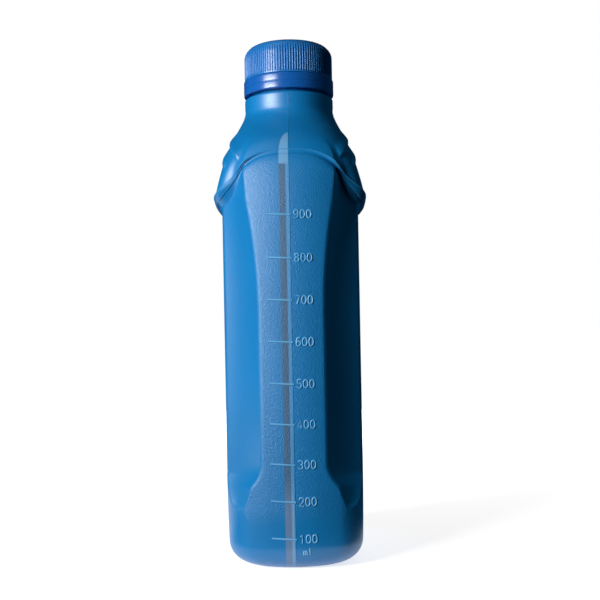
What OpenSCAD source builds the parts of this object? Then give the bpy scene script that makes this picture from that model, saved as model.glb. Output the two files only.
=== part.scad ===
// Tall blow-moulded fluid bottle for one litre, with a scale panel, four corner flutes,
// winged shoulders and a ribbed screw cap with its tamper band.
// The wide label faces look along X, the narrow scale face looks along -Y, and the bottle stands on Z = 0.

/* [Body] */
// Width between the two label faces
body_w = 66; // [60:0.5:74]
// Depth between the two narrow faces
body_d = 100.5; // [90:0.5:112]
// Radius of the four upright corners, seen from above
corner_r = 17; // [14:0.5:20]
// Wall of the blown shell
wall = 1.4; // [1:0.1:2]
// How far the narrow faces crown, as the angle of their normal at the corner
front_crown = 18; // [8:1:24]
// How far the label faces crown, as the angle of their normal at the corner
side_crown = 3; // [2:0.5:6]

/* [Base] */
// Radius of the edge round the base
base_r = 12; // [6:0.5:14]
// Height of the hollow pushed up under the base
push_up = 3.5; // [1:0.5:6]
// Width of the flat ring that the bottle stands on
foot_w = 3; // [2:0.5:5]

/* [Flutes] */
// Height of the pointed lower ends of the flutes
flute_tip_z = 28; // [20:1:40]
// Height over the tip at which a flute has its full width
flute_run = 22; // [14:1:30]
// How deep a flute is hollowed behind the straight line from edge to edge
flute_hollow = 1.4; // [0:0.1:4]
// Half the width of the scale panel between the flutes
panel_half_w = 15.2; // [13:0.1:18]
// Half the width of the scale panel at its upper corners
panel_top_half_w = 21.3; // [19:0.1:24]

/* [Shoulder] */
// Width over the two wings
wing_w = 73.2; // [70:0.2:78]
// Height of the edge of the wings over the label faces
wing_z = 172.5; // [165:0.5:185]
// Height of the arched edge over the narrow faces
arch_z = 193.6; // [188:0.2:204]
// Height of the sloping underside of the wings
ledge_h = 6; // [5:0.5:10]
// Depth of the cove between the scale panel and the arched edge
cove = 1.3; // [0.4:0.1:2]
// How far the two steps on each wing stand out
tier = 1.1; // [0:0.1:1.5]
// Height of the foot of the upper step over the label faces
tier_z = 203.5; // [200:0.5:207]
// Height from the foot of the lower step to that of the upper one
tier_gap = 10; // [8:0.5:12]

/* [Neck] */
// Height of the foot of the neck collar
neck_z = 220.4; // [214:0.2:224]
// Radius of the neck collar
collar_r = 22.1; // [21.5:0.1:24]
// Height of the neck collar
collar_h = 5.8; // [5:0.2:10]
// Radius of the neck under its thread
finish_r = 18.6; // [18:0.1:19]
// Height of the mouth over the top of the collar
finish_h = 23; // [22:0.2:30]
// Radius of the bore of the neck
bore_r = 16.6; // [15:0.1:17]

/* [Closure] */
// Height of the gap between the collar and the tamper band
band_gap = 1.6; // [0.5:0.1:3]
// Height of the tamper band
band_h = 7.5; // [6.5:0.1:9]
// How far the tamper band stands out past the cap
band_proud = 0.5; // [0:0.05:1]
// Clearance between the band, the bead that holds it and the cap
band_clear = 0.3; // [0.2:0.05:0.5]
// Room for the thread between the neck and the inside of the cap
thread_room = 1.55; // [1.2:0.05:2.2]
// Wall of the cap skirt, without the ribs
cap_wall = 1.5; // [1:0.1:2]
// Thickness of the roof of the cap
cap_roof = 2; // [1.5:0.1:3]
// Radius of the edge round the top of the cap
cap_edge_r = 5.5; // [2:0.1:5.5]
// Number of grip ribs round the cap
rib_count = 108; // [48:6:144]
// Height of each grip rib
rib_h = 0.35; // [0.1:0.05:0.6]
// Thickness of the sealing liner
liner_t = 1; // [0.6:0.1:1.5]
// Clearance over and under the liner
liner_clear = 0.1; // [0.05:0.05:0.2]
// How far the liner reaches out past the rim of the neck
liner_over = 0.2; // [0:0.1:0.4]

/* [Contents] */
// Height of the fluid surface
fluid_z = 186.4; // [120:0.1:190]
// Clearance between the fluid and the shell
fluid_clear = 0.4; // [0.3:0.05:0.6]

/* [Colours] */
// Colour of the blown shell
shell_colour = "#1567b0"; // ["#1567b0":blue, "#b02a1c":red, "#2d2f33":black]
// Colour of the cap and the band
cap_colour = "#1c62b4"; // ["#1c62b4":blue, "#b02a1c":red, "#2d2f33":black]
// Colour of the fluid
fluid_colour = "#8c1f2c"; // ["#8c1f2c":red, "#b98a2b":amber]

/* [Hidden] */
$fn = 128;

// Columns of the shell in a quarter of its outline: scale panel, flute or corner, label face.
front_cols = 4;
corner_cols = 7;
side_cols = 4;
quarter_cols = front_cols + corner_cols + side_cols;
cols = 4 * quarter_cols;

// Neck and closure heights, from the collar up.
collar_z = neck_z + collar_h;
mouth_z = collar_z + finish_h;
band_z = collar_z + band_gap;
band_top_z = band_z + band_h;
cap_z = band_top_z + band_clear;
roof_z = mouth_z + liner_t + 2 * liner_clear;
cap_top_z = roof_z + cap_roof;

// The closure is sized from the neck, with room for the thread inside its skirt.
skirt_bore_r = finish_r + thread_room;
cap_r = skirt_bore_r + cap_wall + rib_h;
band_r = cap_r + band_proud;
band_bore_r = band_r - cap_wall;
liner_r = finish_r + liner_over;
liner_seat_r = liner_r + band_clear;
seat_z = mouth_z - 0.5;
seat_slope = 2.5;

// The bead on the neck holds the band, whose hook catches under it.
bead_z = band_z + 0.45 * band_h;
bead_r = band_bore_r - band_clear;
bead_land = 0.8;
bead_undercut = 0.3;
bead_ramp = 1.6;
hook_z = bead_z - bead_undercut - band_clear;
hook_r = finish_r + 2 * band_clear;
hook_land = 1;
hook_lean = 0.2;
crease_z = band_z + 0.47 * band_h;
crease = 0.2;
band_edge = 0.3;

// The shell runs up inside the wall of the collar by this much, a little thinner than it.
lap = 2.5;
lap_clear = 0.15;
shell_neck_r = collar_r - lap_clear;
collar_bore_r = collar_r - wall - 2 * lap_clear;
collar_edge = 0.8;
collar_lip = 2.4;
throat = 1;
mouth_edge = 0.6;

// Flute edges as angles of the outline's normal, and the angles that the columns return to at the base.
tip_angle = 33;
tip_spread = 9;
tip_power = 2.2;
base_front_angle = 12;
base_side_angle = 76;
label_edge_angle = 90 - side_crown;
label_edge_share = 0.7;
label_edge_power = 0.55;
flute_cut_share = 0.1;
full_z = flute_tip_z + flute_run;
taper_low = 0.9;

// The scale panel widens between these heights.
flare_from_z = full_z + 65;
flare_to_z = wing_z + 12;
flare_power = 2.2;

// How the wings run in to the neck, and the narrow faces with them.
straight_share = 0.65;
wing_power = 2.1;
neck_ease = 0.13;
depth_drop = 8;
depth_end = 2;
depth_power = 2.5;
wing_corner_gain = 1;
arch_power = 3.05;
ledge_front_share = 0.85;
cove_mid_share = 0.3;

// Over the flutes the shoulder is drawn in towards the body as it nears the arched edge.
edge_share = 0.35;
edge_from = 0.5;
edge_reach = 0.4;
edge_rise = 14;

// The steps on each wing drop towards the narrow faces and fade out upwards, the lower one starting
// further round the corner.
tier_drop = 23;
tier_from = 33;
tier_turn = 27;
tier_ramp = 6;
tier_edge = 2.4;
tier_run = 7;

function mix(a, b, t) = a + (b - a) * t;
function clamp01(t) = min(max(t, 0), 1);
function ease(t) = let (c = clamp01(t)) c * c * (3 - 2 * c);

// Outline of the bottle seen from above: three arcs that run into each other, over the narrow face,
// the corner and the label face, inside a box of half widths a and b. The point is given by the
// angle of its normal, from 0 at the narrow face to 90 at the label face.
function outline_spans(a, b, r) =
    let (
        det = sin(front_crown) * sin(side_crown) - (1 - cos(front_crown)) * (1 - cos(side_crown)),
        front = ((a - r) * sin(side_crown) - (b - r) * (1 - cos(side_crown))) / det,
        side = ((b - r) * sin(front_crown) - (a - r) * (1 - cos(front_crown))) / det
    )
    [front, side];

function outline(a, b, r, angle) =
    let (
        spans = outline_spans(a, b, r),
        front_r = spans[0] + r,
        side_r = spans[1] + r
    )
    angle <= front_crown
        ? [front_r * sin(angle), b - front_r * (1 - cos(angle))]
    : angle >= 90 - side_crown
        ? [a - side_r * (1 - sin(angle)), side_r * cos(angle)]
    : [spans[0] * sin(front_crown) + r * sin(angle), spans[1] * sin(side_crown) + r * cos(angle)];

// Angle at which the outline of the body is x from the middle of the narrow face.
function angle_at(x) =
    let (
        front = outline_spans(body_w / 2, body_d / 2, corner_r)[0],
        edge_x = (front + corner_r) * sin(front_crown)
    )
    x < edge_x
        ? asin(x / (front + corner_r))
        : asin((x - front * sin(front_crown)) / corner_r);

panel_angle = angle_at(panel_half_w);
panel_top_angle = angle_at(panel_top_half_w);

// Edge of the scale panel, which widens towards the shoulder and the base.
function panel_edge(z) =
    z > full_z
        ? mix(panel_angle, panel_top_angle,
              pow(clamp01((z - flare_from_z) / (flare_to_z - flare_from_z)), flare_power))
    : z > flute_tip_z
        ? mix(panel_angle, tip_angle, pow((full_z - z) / flute_run, tip_power))
    : mix(tip_angle, base_front_angle, ease((flute_tip_z - z) / (flute_tip_z - base_r)));

// Edge of the label face, which closes on the scale panel at the tip of the flute.
function label_edge(z) =
    let (low = tip_angle + tip_spread)
    z > flute_tip_z
        ? mix(low, label_edge_angle,
              pow(clamp01((z - flute_tip_z) / (label_edge_share * flute_run)), label_edge_power))
        : mix(low, base_side_angle, ease((flute_tip_z - z) / (flute_tip_z - base_r)));

// Shares of the way from the body to the neck, in width and in depth, at height z.
function round_off(u) = u * u * (1 + neck_ease) / (u + neck_ease);
function width_share(z) =
    let (
        t = clamp01((z - wing_z) / (neck_z - wing_z)),
        run = straight_share * t + (1 - straight_share) * pow(t, wing_power)
    )
    1 - round_off(1 - run);

function depth_share(z) =
    let (start = wing_z - depth_drop, end = neck_z - depth_end)
    ease(pow(clamp01((z - start) / (end - start)), depth_power));

function body_b(z) = mix(body_d / 2, shell_neck_r, depth_share(z));
function low_inset(z) =
    (z < base_r ? base_r - sqrt(base_r * base_r - pow(base_r - z, 2)) : 0)
    + taper_low * pow(clamp01((full_z - z) / full_z), 2);

// A column's place in its quarter: across the panel, the corner and the label face, each from 0 to 1.
function panel_part(k) = clamp01(k / front_cols);
function corner_part(k) = clamp01((k - front_cols) / corner_cols);
function side_part(k) = clamp01((k - front_cols - corner_cols) / side_cols);

function column_angle(k, front_edge, side_edge) =
    k <= front_cols ? front_edge * panel_part(k)
    : k <= front_cols + corner_cols ? mix(front_edge, side_edge, corner_part(k))
    : mix(side_edge, 90, side_part(k));

// Body under the wings, with its flutes, as [x, depth].
function lower_point(k, z) =
    let (
        a = body_w / 2 - low_inset(z),
        b = body_b(z) - low_inset(z),
        front_edge = panel_edge(z),
        side_edge = label_edge(z),
        plain = outline(a, b, corner_r, column_angle(k, front_edge, side_edge)),
        p = outline(a, b, corner_r, front_edge),
        q = outline(a, b, corner_r, side_edge),
        t = corner_part(k),
        chord = q - p,
        inward = [chord[1], -chord[0]] / norm(chord),
        full_chord = norm([body_w / 2 - panel_half_w, corner_r]),
        hollow = flute_hollow * norm(chord) / full_chord * 4 * t * (1 - t),
        cut = ease((z - flute_tip_z) / (flute_cut_share * flute_run))
    )
    t > 0 && t < 1 ? mix(plain, p + chord * t + inward * hollow, cut) : plain;

// Steps on the wing, n = 0 for the upper one, which stand out over a foot that falls towards
// the narrow faces.
function tier_step(n, angle, z) =
    let (foot = tier_z - n * tier_gap - tier_drop * (1 - clamp01(angle / 90)))
    tier * ease((angle - tier_from - n * tier_turn) / tier_ramp)
        * ease((z - foot) / tier_edge + 0.5)
        * ease((foot + tier_run - z) / tier_run);

// Shoulder over the wings, which turns from the winged outline into the round neck.
function upper_point(k, z) =
    let (
        share = width_share(z),
        a = mix(wing_w / 2, shell_neck_r, share),
        b = body_b(z),
        r = mix(corner_r + wing_corner_gain, shell_neck_r, ease(share)),
        body_angle = column_angle(k, panel_top_angle, label_edge_angle),
        even_angle = 90 * k / quarter_cols,
        angle = mix(body_angle, even_angle, share)
    )
    outline(a, b, min(r, a, b), angle)
        + (tier_step(0, angle, z) + tier_step(1, angle, z)) * [sin(angle), cos(angle)];

// Height of the wing's edge over a column: level on the label face, arched over the narrow face.
function edge_z(k) =
    let (x = outline(body_w / 2, body_d / 2, corner_r,
                     column_angle(k, panel_top_angle, label_edge_angle))[0] / (body_w / 2))
    mix(wing_z, arch_z, 1 - pow(min(x, 1), arch_power));

// Share of the arch's fall at a column, from 0 at its middle to 1 over the label face.
function edge_drop(k) = (edge_z(k) - arch_z) / (wing_z - arch_z);
function ledge_at(k) = ledge_h * mix(ledge_front_share, 1, edge_drop(k));

// How far out from the body to the shoulder the arched edge lies, and the shoulder over it.
function edge_part(k) = mix(edge_share, 1, ease((edge_drop(k) - edge_from) / edge_reach));
function shoulder_point(k, z) =
    mix(lower_point(k, z), upper_point(k, z),
        mix(edge_part(k), 1, ease((z - edge_z(k)) / edge_rise)));

function ledge_point(k, t) =
    let (
        z = edge_z(k) - ledge_at(k) * (1 - t),
        angle = column_angle(k, panel_top_angle, label_edge_angle),
        across = mix(cove_mid_share, 1, pow(panel_part(k), 2)) * (1 - ease(2 * corner_part(k))),
        depth = cove * sin(180 * t) * across
    )
    mix(lower_point(k, z), upper_point(k, z), edge_part(k) * ease(t)) - depth * [sin(angle), cos(angle)];

// Rows of the shell from the base up: each is a kind of place and how far along it.
BASE = 0;
EDGE = 1;
LOW = 2;
BODY = 3;
LEDGE = 4;
SHOULDER = 5;
NECK = 6;
shoulder_rows = 16;
rows = concat(
    [for (t = [0.3, 0.6, 0.8, 1]) [BASE, t]],
    [for (t = [0, 0.2, 0.45, 0.7]) [EDGE, t]],
    [for (t = [0, 0.25, 0.4, 0.5, 0.6, 0.7, 0.8, 1]) [LOW, t]],
    [for (t = [0.2, 0.4, 0.6, 0.8]) [BODY, t]],
    [for (t = [0, 0.25, 0.5, 0.75]) [LEDGE, t]],
    [for (i = [0 : shoulder_rows - 1]) [SHOULDER, i / shoulder_rows]],
    [for (t = [0, 1]) [NECK, t]]
);

function base_point(k, t) =
    let (
        ring = lower_point(k, 0),
        inner_share = 1 - foot_w / norm(ring)
    )
    concat(ring * t * inner_share, push_up * (1 - ease(t)));

function shell_point(k, row) =
    let (kind = row[0], t = row[1])
    kind == BASE ? base_point(k, t)
    : kind == EDGE ? let (z = base_r * (1 - cos(90 * t))) concat(lower_point(k, z), z)
    : kind == LOW ? let (z = mix(base_r, full_z, t)) concat(lower_point(k, z), z)
    : kind == BODY ? let (z = mix(full_z, edge_z(k) - ledge_at(k), t)) concat(lower_point(k, z), z)
    : kind == LEDGE ? concat(ledge_point(k, t), edge_z(k) - ledge_at(k) * (1 - t))
    : kind == SHOULDER ? let (z = mix(edge_z(k), neck_z, t)) concat(shoulder_point(k, z), z)
    : concat(upper_point(k, neck_z), neck_z + lap * t);

// All round: the quarter is mirrored to the other three.
function around(i, row) =
    let (
        q = floor(i / quarter_cols),
        k = q % 2 == 0 ? i - q * quarter_cols : (q + 1) * quarter_cols - i,
        p = shell_point(k, row)
    )
    [q < 2 ? p[0] : -p[0], q == 0 || q == 3 ? -p[1] : p[1], p[2]];

shell_grid = [for (row = rows) [for (i = [0 : cols - 1]) around(i, row)]];

// Outward normals of the grid, from each point's neighbours.
function grid_normal(j, i) =
    let (
        last = len(rows) - 1,
        along = shell_grid[j][(i + 1) % cols] - shell_grid[j][(i + cols - 1) % cols],
        up = shell_grid[min(j + 1, last)][i] - shell_grid[max(j - 1, 0)][i],
        n = cross(along, up)
    )
    j == last ? [n[0], n[1], 0] / norm([n[0], n[1]]) : n / norm(n);

function sunk_rows(depth, chosen) =
    [for (j = chosen) [for (i = [0 : cols - 1]) shell_grid[j][i] - depth * grid_normal(j, i)]];

// Rows that the inner faces follow: every row where the form turns, every second one over the wings.
inner_rows = [
    for (j = [0 : len(rows) - 1])
        let (row = rows[j])
        if (row[0] != SHOULDER || j % 2 == 0 || row[1] == 0) j
];

// Rows that the fluid follows: the inner ones, up to the first that lies over its surface all round.
fluid_margin = 0.2;
fluid_share = (fluid_z - wing_z) / (neck_z - wing_z) + fluid_margin;
fluid_rows = [
    for (j = inner_rows)
        let (row = rows[j])
        if (row[0] < SHOULDER || (row[0] == SHOULDER && row[1] < fluid_share)) j
];

function flat(lists) = [for (l = lists) each l];

// Faces between the rows from first to last, seen from outside.
function skirt_faces(first, last) = [
    for (j = [first : last - 1], i = [0 : cols - 1])
        let (
            a = j * cols + i,
            b = j * cols + (i + 1) % cols,
            c = b + cols,
            d = a + cols
        )
        each [[a, c, b], [a, d, c]]
];

function ring_face(j, turned) =
    turned ? [for (i = [0 : cols - 1]) j * cols + i] : [for (i = [cols - 1 : -1 : 0]) j * cols + i];

module blown_shell() {
    inner = sunk_rows(wall, inner_rows);
    n = len(shell_grid);
    m = len(inner);
    // The outer rows run up, the inner rows follow on from the neck and run down.
    points = flat(concat(shell_grid, [for (j = [m - 1 : -1 : 0]) inner[j]]));
    polyhedron(
        points = points,
        faces = concat(
            [ring_face(0, true)],
            skirt_faces(0, n + m - 1),
            [ring_face(n + m - 1, false)]
        )
    );
}

module neck_finish() {
    rotate_extrude() polygon([
        [collar_bore_r, neck_z],
        [collar_r, neck_z],
        [collar_r, collar_z - collar_edge],
        [collar_r - collar_edge, collar_z],
        [finish_r, collar_z],
        [finish_r, bead_z - bead_undercut],
        [bead_r, bead_z],
        [bead_r, bead_z + bead_land],
        [finish_r, bead_z + bead_land + bead_ramp],
        [finish_r, mouth_z - mouth_edge],
        [finish_r - mouth_edge, mouth_z],
        [bore_r, mouth_z],
        [bore_r, collar_z + throat],
        [collar_bore_r, collar_z - collar_lip]
    ]);
}

module bottle() {
    color(shell_colour) union() {
        blown_shell();
        neck_finish();
    }
}

module fluid() {
    inner = sunk_rows(wall + fluid_clear, fluid_rows);
    n = len(inner);
    color(fluid_colour) intersection() {
        polyhedron(
            points = flat(inner),
            faces = concat([ring_face(0, true)], skirt_faces(0, n - 1), [ring_face(n - 1, false)])
        );
        translate([-wing_w, -body_d, 0]) cube([2 * wing_w, 2 * body_d, fluid_z]);
    }
}

// Outline of the skirt with its grip ribs: each is a trapezium, by shares of one step round.
module grip_outline() {
    step = 360 / rib_count;
    foot_share = 0.36;
    crest_share = 0.14;
    polygon([
        for (i = [0 : rib_count - 1])
            each [
                for (p = [[-foot_share, 0], [-crest_share, 1], [crest_share, 1], [foot_share, 0]])
                    let (r = cap_r - rib_h * (1 - p[1]), turn = (i + p[0]) * step)
                    r * [cos(turn), sin(turn)]
            ]
    ]);
}

module cap_profile() {
    height = cap_top_z - cap_z;
    translate([0, cap_z]) {
        square([cap_r, height - cap_edge_r]);
        square([cap_r - cap_edge_r, height]);
        intersection() {
            translate([cap_r - cap_edge_r, height - cap_edge_r]) circle(cap_edge_r);
            square([cap_r, height]);
        }
    }
}

module cap() {
    below = 1;
    color(cap_colour) difference() {
        intersection() {
            translate([0, 0, cap_z]) linear_extrude(cap_top_z - cap_z) grip_outline();
            rotate_extrude() cap_profile();
        }
        rotate_extrude() polygon([
            [0, cap_z - below],
            [skirt_bore_r, cap_z - below],
            [skirt_bore_r, seat_z - seat_slope],
            [liner_seat_r, seat_z],
            [liner_seat_r, roof_z],
            [0, roof_z]
        ]);
    }
}

module cap_liner() {
    color("#e9e6dc") translate([0, 0, mouth_z + liner_clear]) cylinder(r = liner_r, h = liner_t);
}

module tamper_band() {
    color(cap_colour) rotate_extrude() polygon([
        [band_bore_r, hook_z],
        [hook_r, hook_z - hook_lean],
        [hook_r, hook_z - hook_lean - hook_land],
        [band_bore_r - hook_lean, band_z],
        [band_r - band_edge, band_z],
        [band_r, band_z + band_edge],
        [band_r, crease_z - crease],
        [band_r - crease, crease_z],
        [band_r, crease_z + crease],
        [band_r, band_top_z - band_edge],
        [band_r - band_edge, band_top_z],
        [band_bore_r, band_top_z]
    ]);
}

bottle();
fluid();
cap();
cap_liner();
tamper_band();
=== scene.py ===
"""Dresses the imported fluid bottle: its blown shell, scale, closure and finishes, with the studio round it."""

import logging
import math
from dataclasses import dataclass, field
from enum import Enum

import bpy
import numpy as np
from mathutils import Matrix, Vector


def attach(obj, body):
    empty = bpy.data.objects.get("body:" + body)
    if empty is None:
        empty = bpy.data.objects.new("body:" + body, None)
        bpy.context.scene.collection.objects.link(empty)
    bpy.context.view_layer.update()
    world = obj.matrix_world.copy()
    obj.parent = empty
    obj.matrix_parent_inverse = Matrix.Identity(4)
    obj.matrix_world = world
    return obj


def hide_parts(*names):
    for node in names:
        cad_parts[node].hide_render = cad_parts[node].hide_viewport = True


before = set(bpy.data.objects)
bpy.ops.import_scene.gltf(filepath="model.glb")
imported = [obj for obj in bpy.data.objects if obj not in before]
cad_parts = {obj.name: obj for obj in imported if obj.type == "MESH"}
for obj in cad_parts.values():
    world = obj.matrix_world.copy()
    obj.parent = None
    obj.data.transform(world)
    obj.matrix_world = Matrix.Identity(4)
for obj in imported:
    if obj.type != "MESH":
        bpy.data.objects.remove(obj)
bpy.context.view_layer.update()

MM = 0.001
LOG = logging.getLogger("bottle")
Colour = tuple[float, float, float]
Points = np.ndarray


def ease(t: Points | float) -> Points | float:
    """Smooth step from 0 to 1, held flat outside that span."""
    c = np.clip(t, 0.0, 1.0)
    return c * c * (3 - 2 * c)


def mix(a: Points | float, b: Points | float, t: Points | float) -> Points | float:
    """Straight blend from a at t = 0 to b at t = 1."""
    return a + (b - a) * t


def sin_deg(angle: Points | float) -> Points | float:
    """Sine of an angle in degrees."""
    return np.sin(np.radians(angle))


def cos_deg(angle: Points | float) -> Points | float:
    """Cosine of an angle in degrees."""
    return np.cos(np.radians(angle))


class Side(Enum):
    """The two narrow faces of the bottle, by the sign of their Y."""

    SCALE = -1
    BACK = 1


class Zone(Enum):
    """The stretches of the shell from its base to its neck."""

    BASE = "base"
    EDGE = "edge"
    LOW = "low"
    BODY = "body"
    LEDGE = "ledge"
    SHOULDER = "shoulder"


@dataclass(frozen=True)
class BottleForm:
    """The form of the blown shell, in millimetres.

    It is the form of the part's source, but for a lower ledge at the middle of the arch and crisper
    edges on the steps of the wings.
    """

    body_w: float = 66.0
    body_d: float = 100.5
    corner_r: float = 17.0
    wall: float = 1.4
    front_crown: float = 18.0
    side_crown: float = 3.0
    base_r: float = 12.0
    push_up: float = 3.5
    foot_w: float = 3.0
    flute_tip_z: float = 28.0
    flute_run: float = 22.0
    flute_hollow: float = 1.4
    panel_half_w: float = 15.2
    panel_top_half_w: float = 21.3
    wing_w: float = 73.2
    wing_z: float = 172.5
    arch_z: float = 193.6
    ledge_h: float = 6.0
    cove: float = 1.3
    tier: float = 1.1
    tier_z: float = 203.5
    tier_gap: float = 10.0
    neck_z: float = 220.4
    collar_r: float = 22.1
    collar_h: float = 5.8
    finish_r: float = 18.6
    finish_h: float = 23.0
    bore_r: float = 16.6
    fluid_z: float = 186.4
    tip_angle: float = 33.0
    tip_spread: float = 9.0
    base_front_angle: float = 12.0
    base_side_angle: float = 76.0
    tip_power: float = 2.2
    taper_low: float = 0.9
    label_edge_share: float = 0.7
    label_edge_power: float = 0.55
    flute_cut_share: float = 0.1
    flare_from: float = 65.0
    flare_past: float = 12.0
    flare_power: float = 2.2
    straight_share: float = 0.65
    wing_power: float = 2.1
    neck_ease: float = 0.13
    depth_drop: float = 8.0
    depth_end: float = 2.0
    depth_power: float = 2.5
    wing_corner_gain: float = 1.0
    arch_power: float = 3.05
    ledge_front_share: float = 0.5
    edge_share: float = 0.35
    edge_from: float = 0.5
    edge_reach: float = 0.4
    edge_rise: float = 14.0
    cove_mid_share: float = 0.3
    tiers: int = 2
    tier_drop: float = 23.0
    tier_from: float = 33.0
    tier_turn: float = 27.0
    tier_ramp: float = 6.0
    tier_edge: float = 1.6
    tier_run: float = 7.0
    lap_clear: float = 0.15
    front_cols: int = 4
    corner_cols: int = 7
    side_cols: int = 4

    @property
    def quarter_cols(self) -> int:
        """Columns of a quarter of the outline in the part's source."""
        return self.front_cols + self.corner_cols + self.side_cols

    @property
    def full_z(self) -> float:
        """Height at which the flutes reach their full width."""
        return self.flute_tip_z + self.flute_run

    @property
    def neck_r(self) -> float:
        """Radius of the shell where it meets the collar."""
        return self.collar_r - self.lap_clear

    @property
    def collar_z(self) -> float:
        """Height of the top of the neck collar."""
        return self.neck_z + self.collar_h

    @property
    def mouth_z(self) -> float:
        """Height of the mouth."""
        return self.collar_z + self.finish_h

    def spans(self, a: Points, b: Points, r: Points) -> tuple[Points, Points]:
        """Distances of the centres of the two long arcs from the corner's centre.

        Args:
            a: Half width of the outline.
            b: Half depth of the outline.
            r: Radius of its corners.

        Returns:
            The distance for the narrow face's arc and for the label face's arc.
        """
        sf, cf = sin_deg(self.front_crown), cos_deg(self.front_crown)
        ss, cs = sin_deg(self.side_crown), cos_deg(self.side_crown)
        det = sf * ss - (1 - cf) * (1 - cs)
        front = ((a - r) * ss - (b - r) * (1 - cs)) / det
        side = ((b - r) * sf - (a - r) * (1 - cf)) / det
        return front, side

    def outline(self, a: Points, b: Points, r: Points, angle: Points) -> Points:
        """Point of the three-arc outline with the given angle of its normal.

        Args:
            a: Half width of the outline.
            b: Half depth of the outline.
            r: Radius of its corners.
            angle: Angle of the normal, 0 at the narrow face and 90 at the label face.

        Returns:
            Array of [x, depth] with a last axis of two.
        """
        front, side = self.spans(a, b, r)
        front_r, side_r = front + r, side + r
        sn, cn = sin_deg(angle), cos_deg(angle)
        on_front = angle <= self.front_crown
        on_side = angle >= 90 - self.side_crown
        corner_x = front * sin_deg(self.front_crown) + r * sn
        corner_y = side * sin_deg(self.side_crown) + r * cn
        x = np.where(on_front, front_r * sn, np.where(on_side, a - side_r * (1 - sn), corner_x))
        y = np.where(on_front, b - front_r * (1 - cn), np.where(on_side, side_r * cn, corner_y))
        return np.stack([x, y], axis=-1)

    def angle_at(self, x: float) -> float:
        """Finds where the body's outline is a given distance from the middle of the narrow face.

        Args:
            x: Distance from the middle of the face.

        Returns:
            The angle of the outline's normal there, in degrees.
        """
        front, _ = self.spans(self.body_w / 2, self.body_d / 2, self.corner_r)
        front_r = front + self.corner_r
        if x < front_r * sin_deg(self.front_crown):
            return math.degrees(math.asin(x / front_r))
        return math.degrees(math.asin((x - front * sin_deg(self.front_crown)) / self.corner_r))

    def panel_edge(self, z: Points) -> Points:
        """Edge of the scale panel, wider towards the top and at the flute's tip.

        Args:
            z: Height of the point.

        Returns:
            The angle of the outline's normal at that edge, in degrees.
        """
        mid, top = self.angle_at(self.panel_half_w), self.angle_at(self.panel_top_half_w)
        start, end = self.full_z + self.flare_from, self.wing_z + self.flare_past
        rise = np.clip((z - start) / (end - start), 0, 1) ** self.flare_power
        flare = np.clip((self.full_z - z) / self.flute_run, 0, 1) ** self.tip_power
        back = ease((self.flute_tip_z - z) / (self.flute_tip_z - self.base_r))
        upper = np.where(z > self.full_z, mix(mid, top, rise), mix(mid, self.tip_angle, flare))
        return np.where(z > self.flute_tip_z, upper, mix(self.tip_angle, self.base_front_angle, back))

    def label_edge(self, z: Points) -> Points:
        """Edge of the label face, which curves in to the flute's tip.

        Args:
            z: Height of the point.

        Returns:
            The angle of the outline's normal at that edge, in degrees.
        """
        low = self.tip_angle + self.tip_spread
        run = np.clip((z - self.flute_tip_z) / (self.label_edge_share * self.flute_run), 0, 1)
        run = run**self.label_edge_power
        back = ease((self.flute_tip_z - z) / (self.flute_tip_z - self.base_r))
        above = mix(low, 90 - self.side_crown, run)
        return np.where(z > self.flute_tip_z, above, mix(low, self.base_side_angle, back))

    def width_share(self, z: Points) -> Points:
        """Share of the way from the wings to the neck, in width.

        Args:
            z: Height of the point.

        Returns:
            0 at the wings and 1 at the neck.
        """
        t = np.clip((z - self.wing_z) / (self.neck_z - self.wing_z), 0, 1)
        left = 1 - mix(t**self.wing_power, t, self.straight_share)
        return 1 - left * left * (1 + self.neck_ease) / (left + self.neck_ease)

    def half_depth(self, z: Points) -> Points:
        """Half the depth of the bottle.

        Args:
            z: Height of the point.

        Returns:
            The half depth, full up to the wings and round at the neck.
        """
        start = self.wing_z - self.depth_drop
        end = self.neck_z - self.depth_end
        share = ease(np.clip((z - start) / (end - start), 0, 1) ** self.depth_power)
        return mix(self.body_d / 2, self.neck_r, share)

    def low_inset(self, z: Points) -> Points:
        """How far the base's edge and the slight taper draw the outline in.

        Args:
            z: Height of the point.

        Returns:
            The distance in millimetres.
        """
        under = np.clip(self.base_r - z, 0, None)
        return (self.base_r - np.sqrt(self.base_r**2 - under**2)
                + self.taper_low * np.clip((self.full_z - z) / self.full_z, 0, 1) ** 2)

    def panel_part(self, k: Points) -> Points:
        """Share of the way across the scale panel for column k."""
        return np.clip(k / self.front_cols, 0, 1)

    def corner_part(self, k: Points) -> Points:
        """Share of the way across the flute or corner for column k."""
        return np.clip((k - self.front_cols) / self.corner_cols, 0, 1)

    def column_angle(self, k: Points, front_edge: Points, side_edge: Points) -> Points:
        """Angle of the normal in column k, for given edges of the flute.

        Args:
            k: Columns of one quarter.
            front_edge: Angle of the flute's edge at the scale panel.
            side_edge: Angle of its edge at the label face.

        Returns:
            The angle of the normal in each column.
        """
        across = mix(front_edge, side_edge, self.corner_part(k))
        beyond = np.clip((k - self.front_cols - self.corner_cols) / self.side_cols, 0, 1)
        on_side = k > self.front_cols + self.corner_cols
        return np.where(k <= self.front_cols, front_edge * self.panel_part(k),
                        np.where(on_side, mix(side_edge, 90, beyond), across))

    def top_angle(self, k: Points) -> Points:
        """Angle of column k at the edge of the shoulder."""
        return self.column_angle(k, self.angle_at(self.panel_top_half_w), 90 - self.side_crown)

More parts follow.
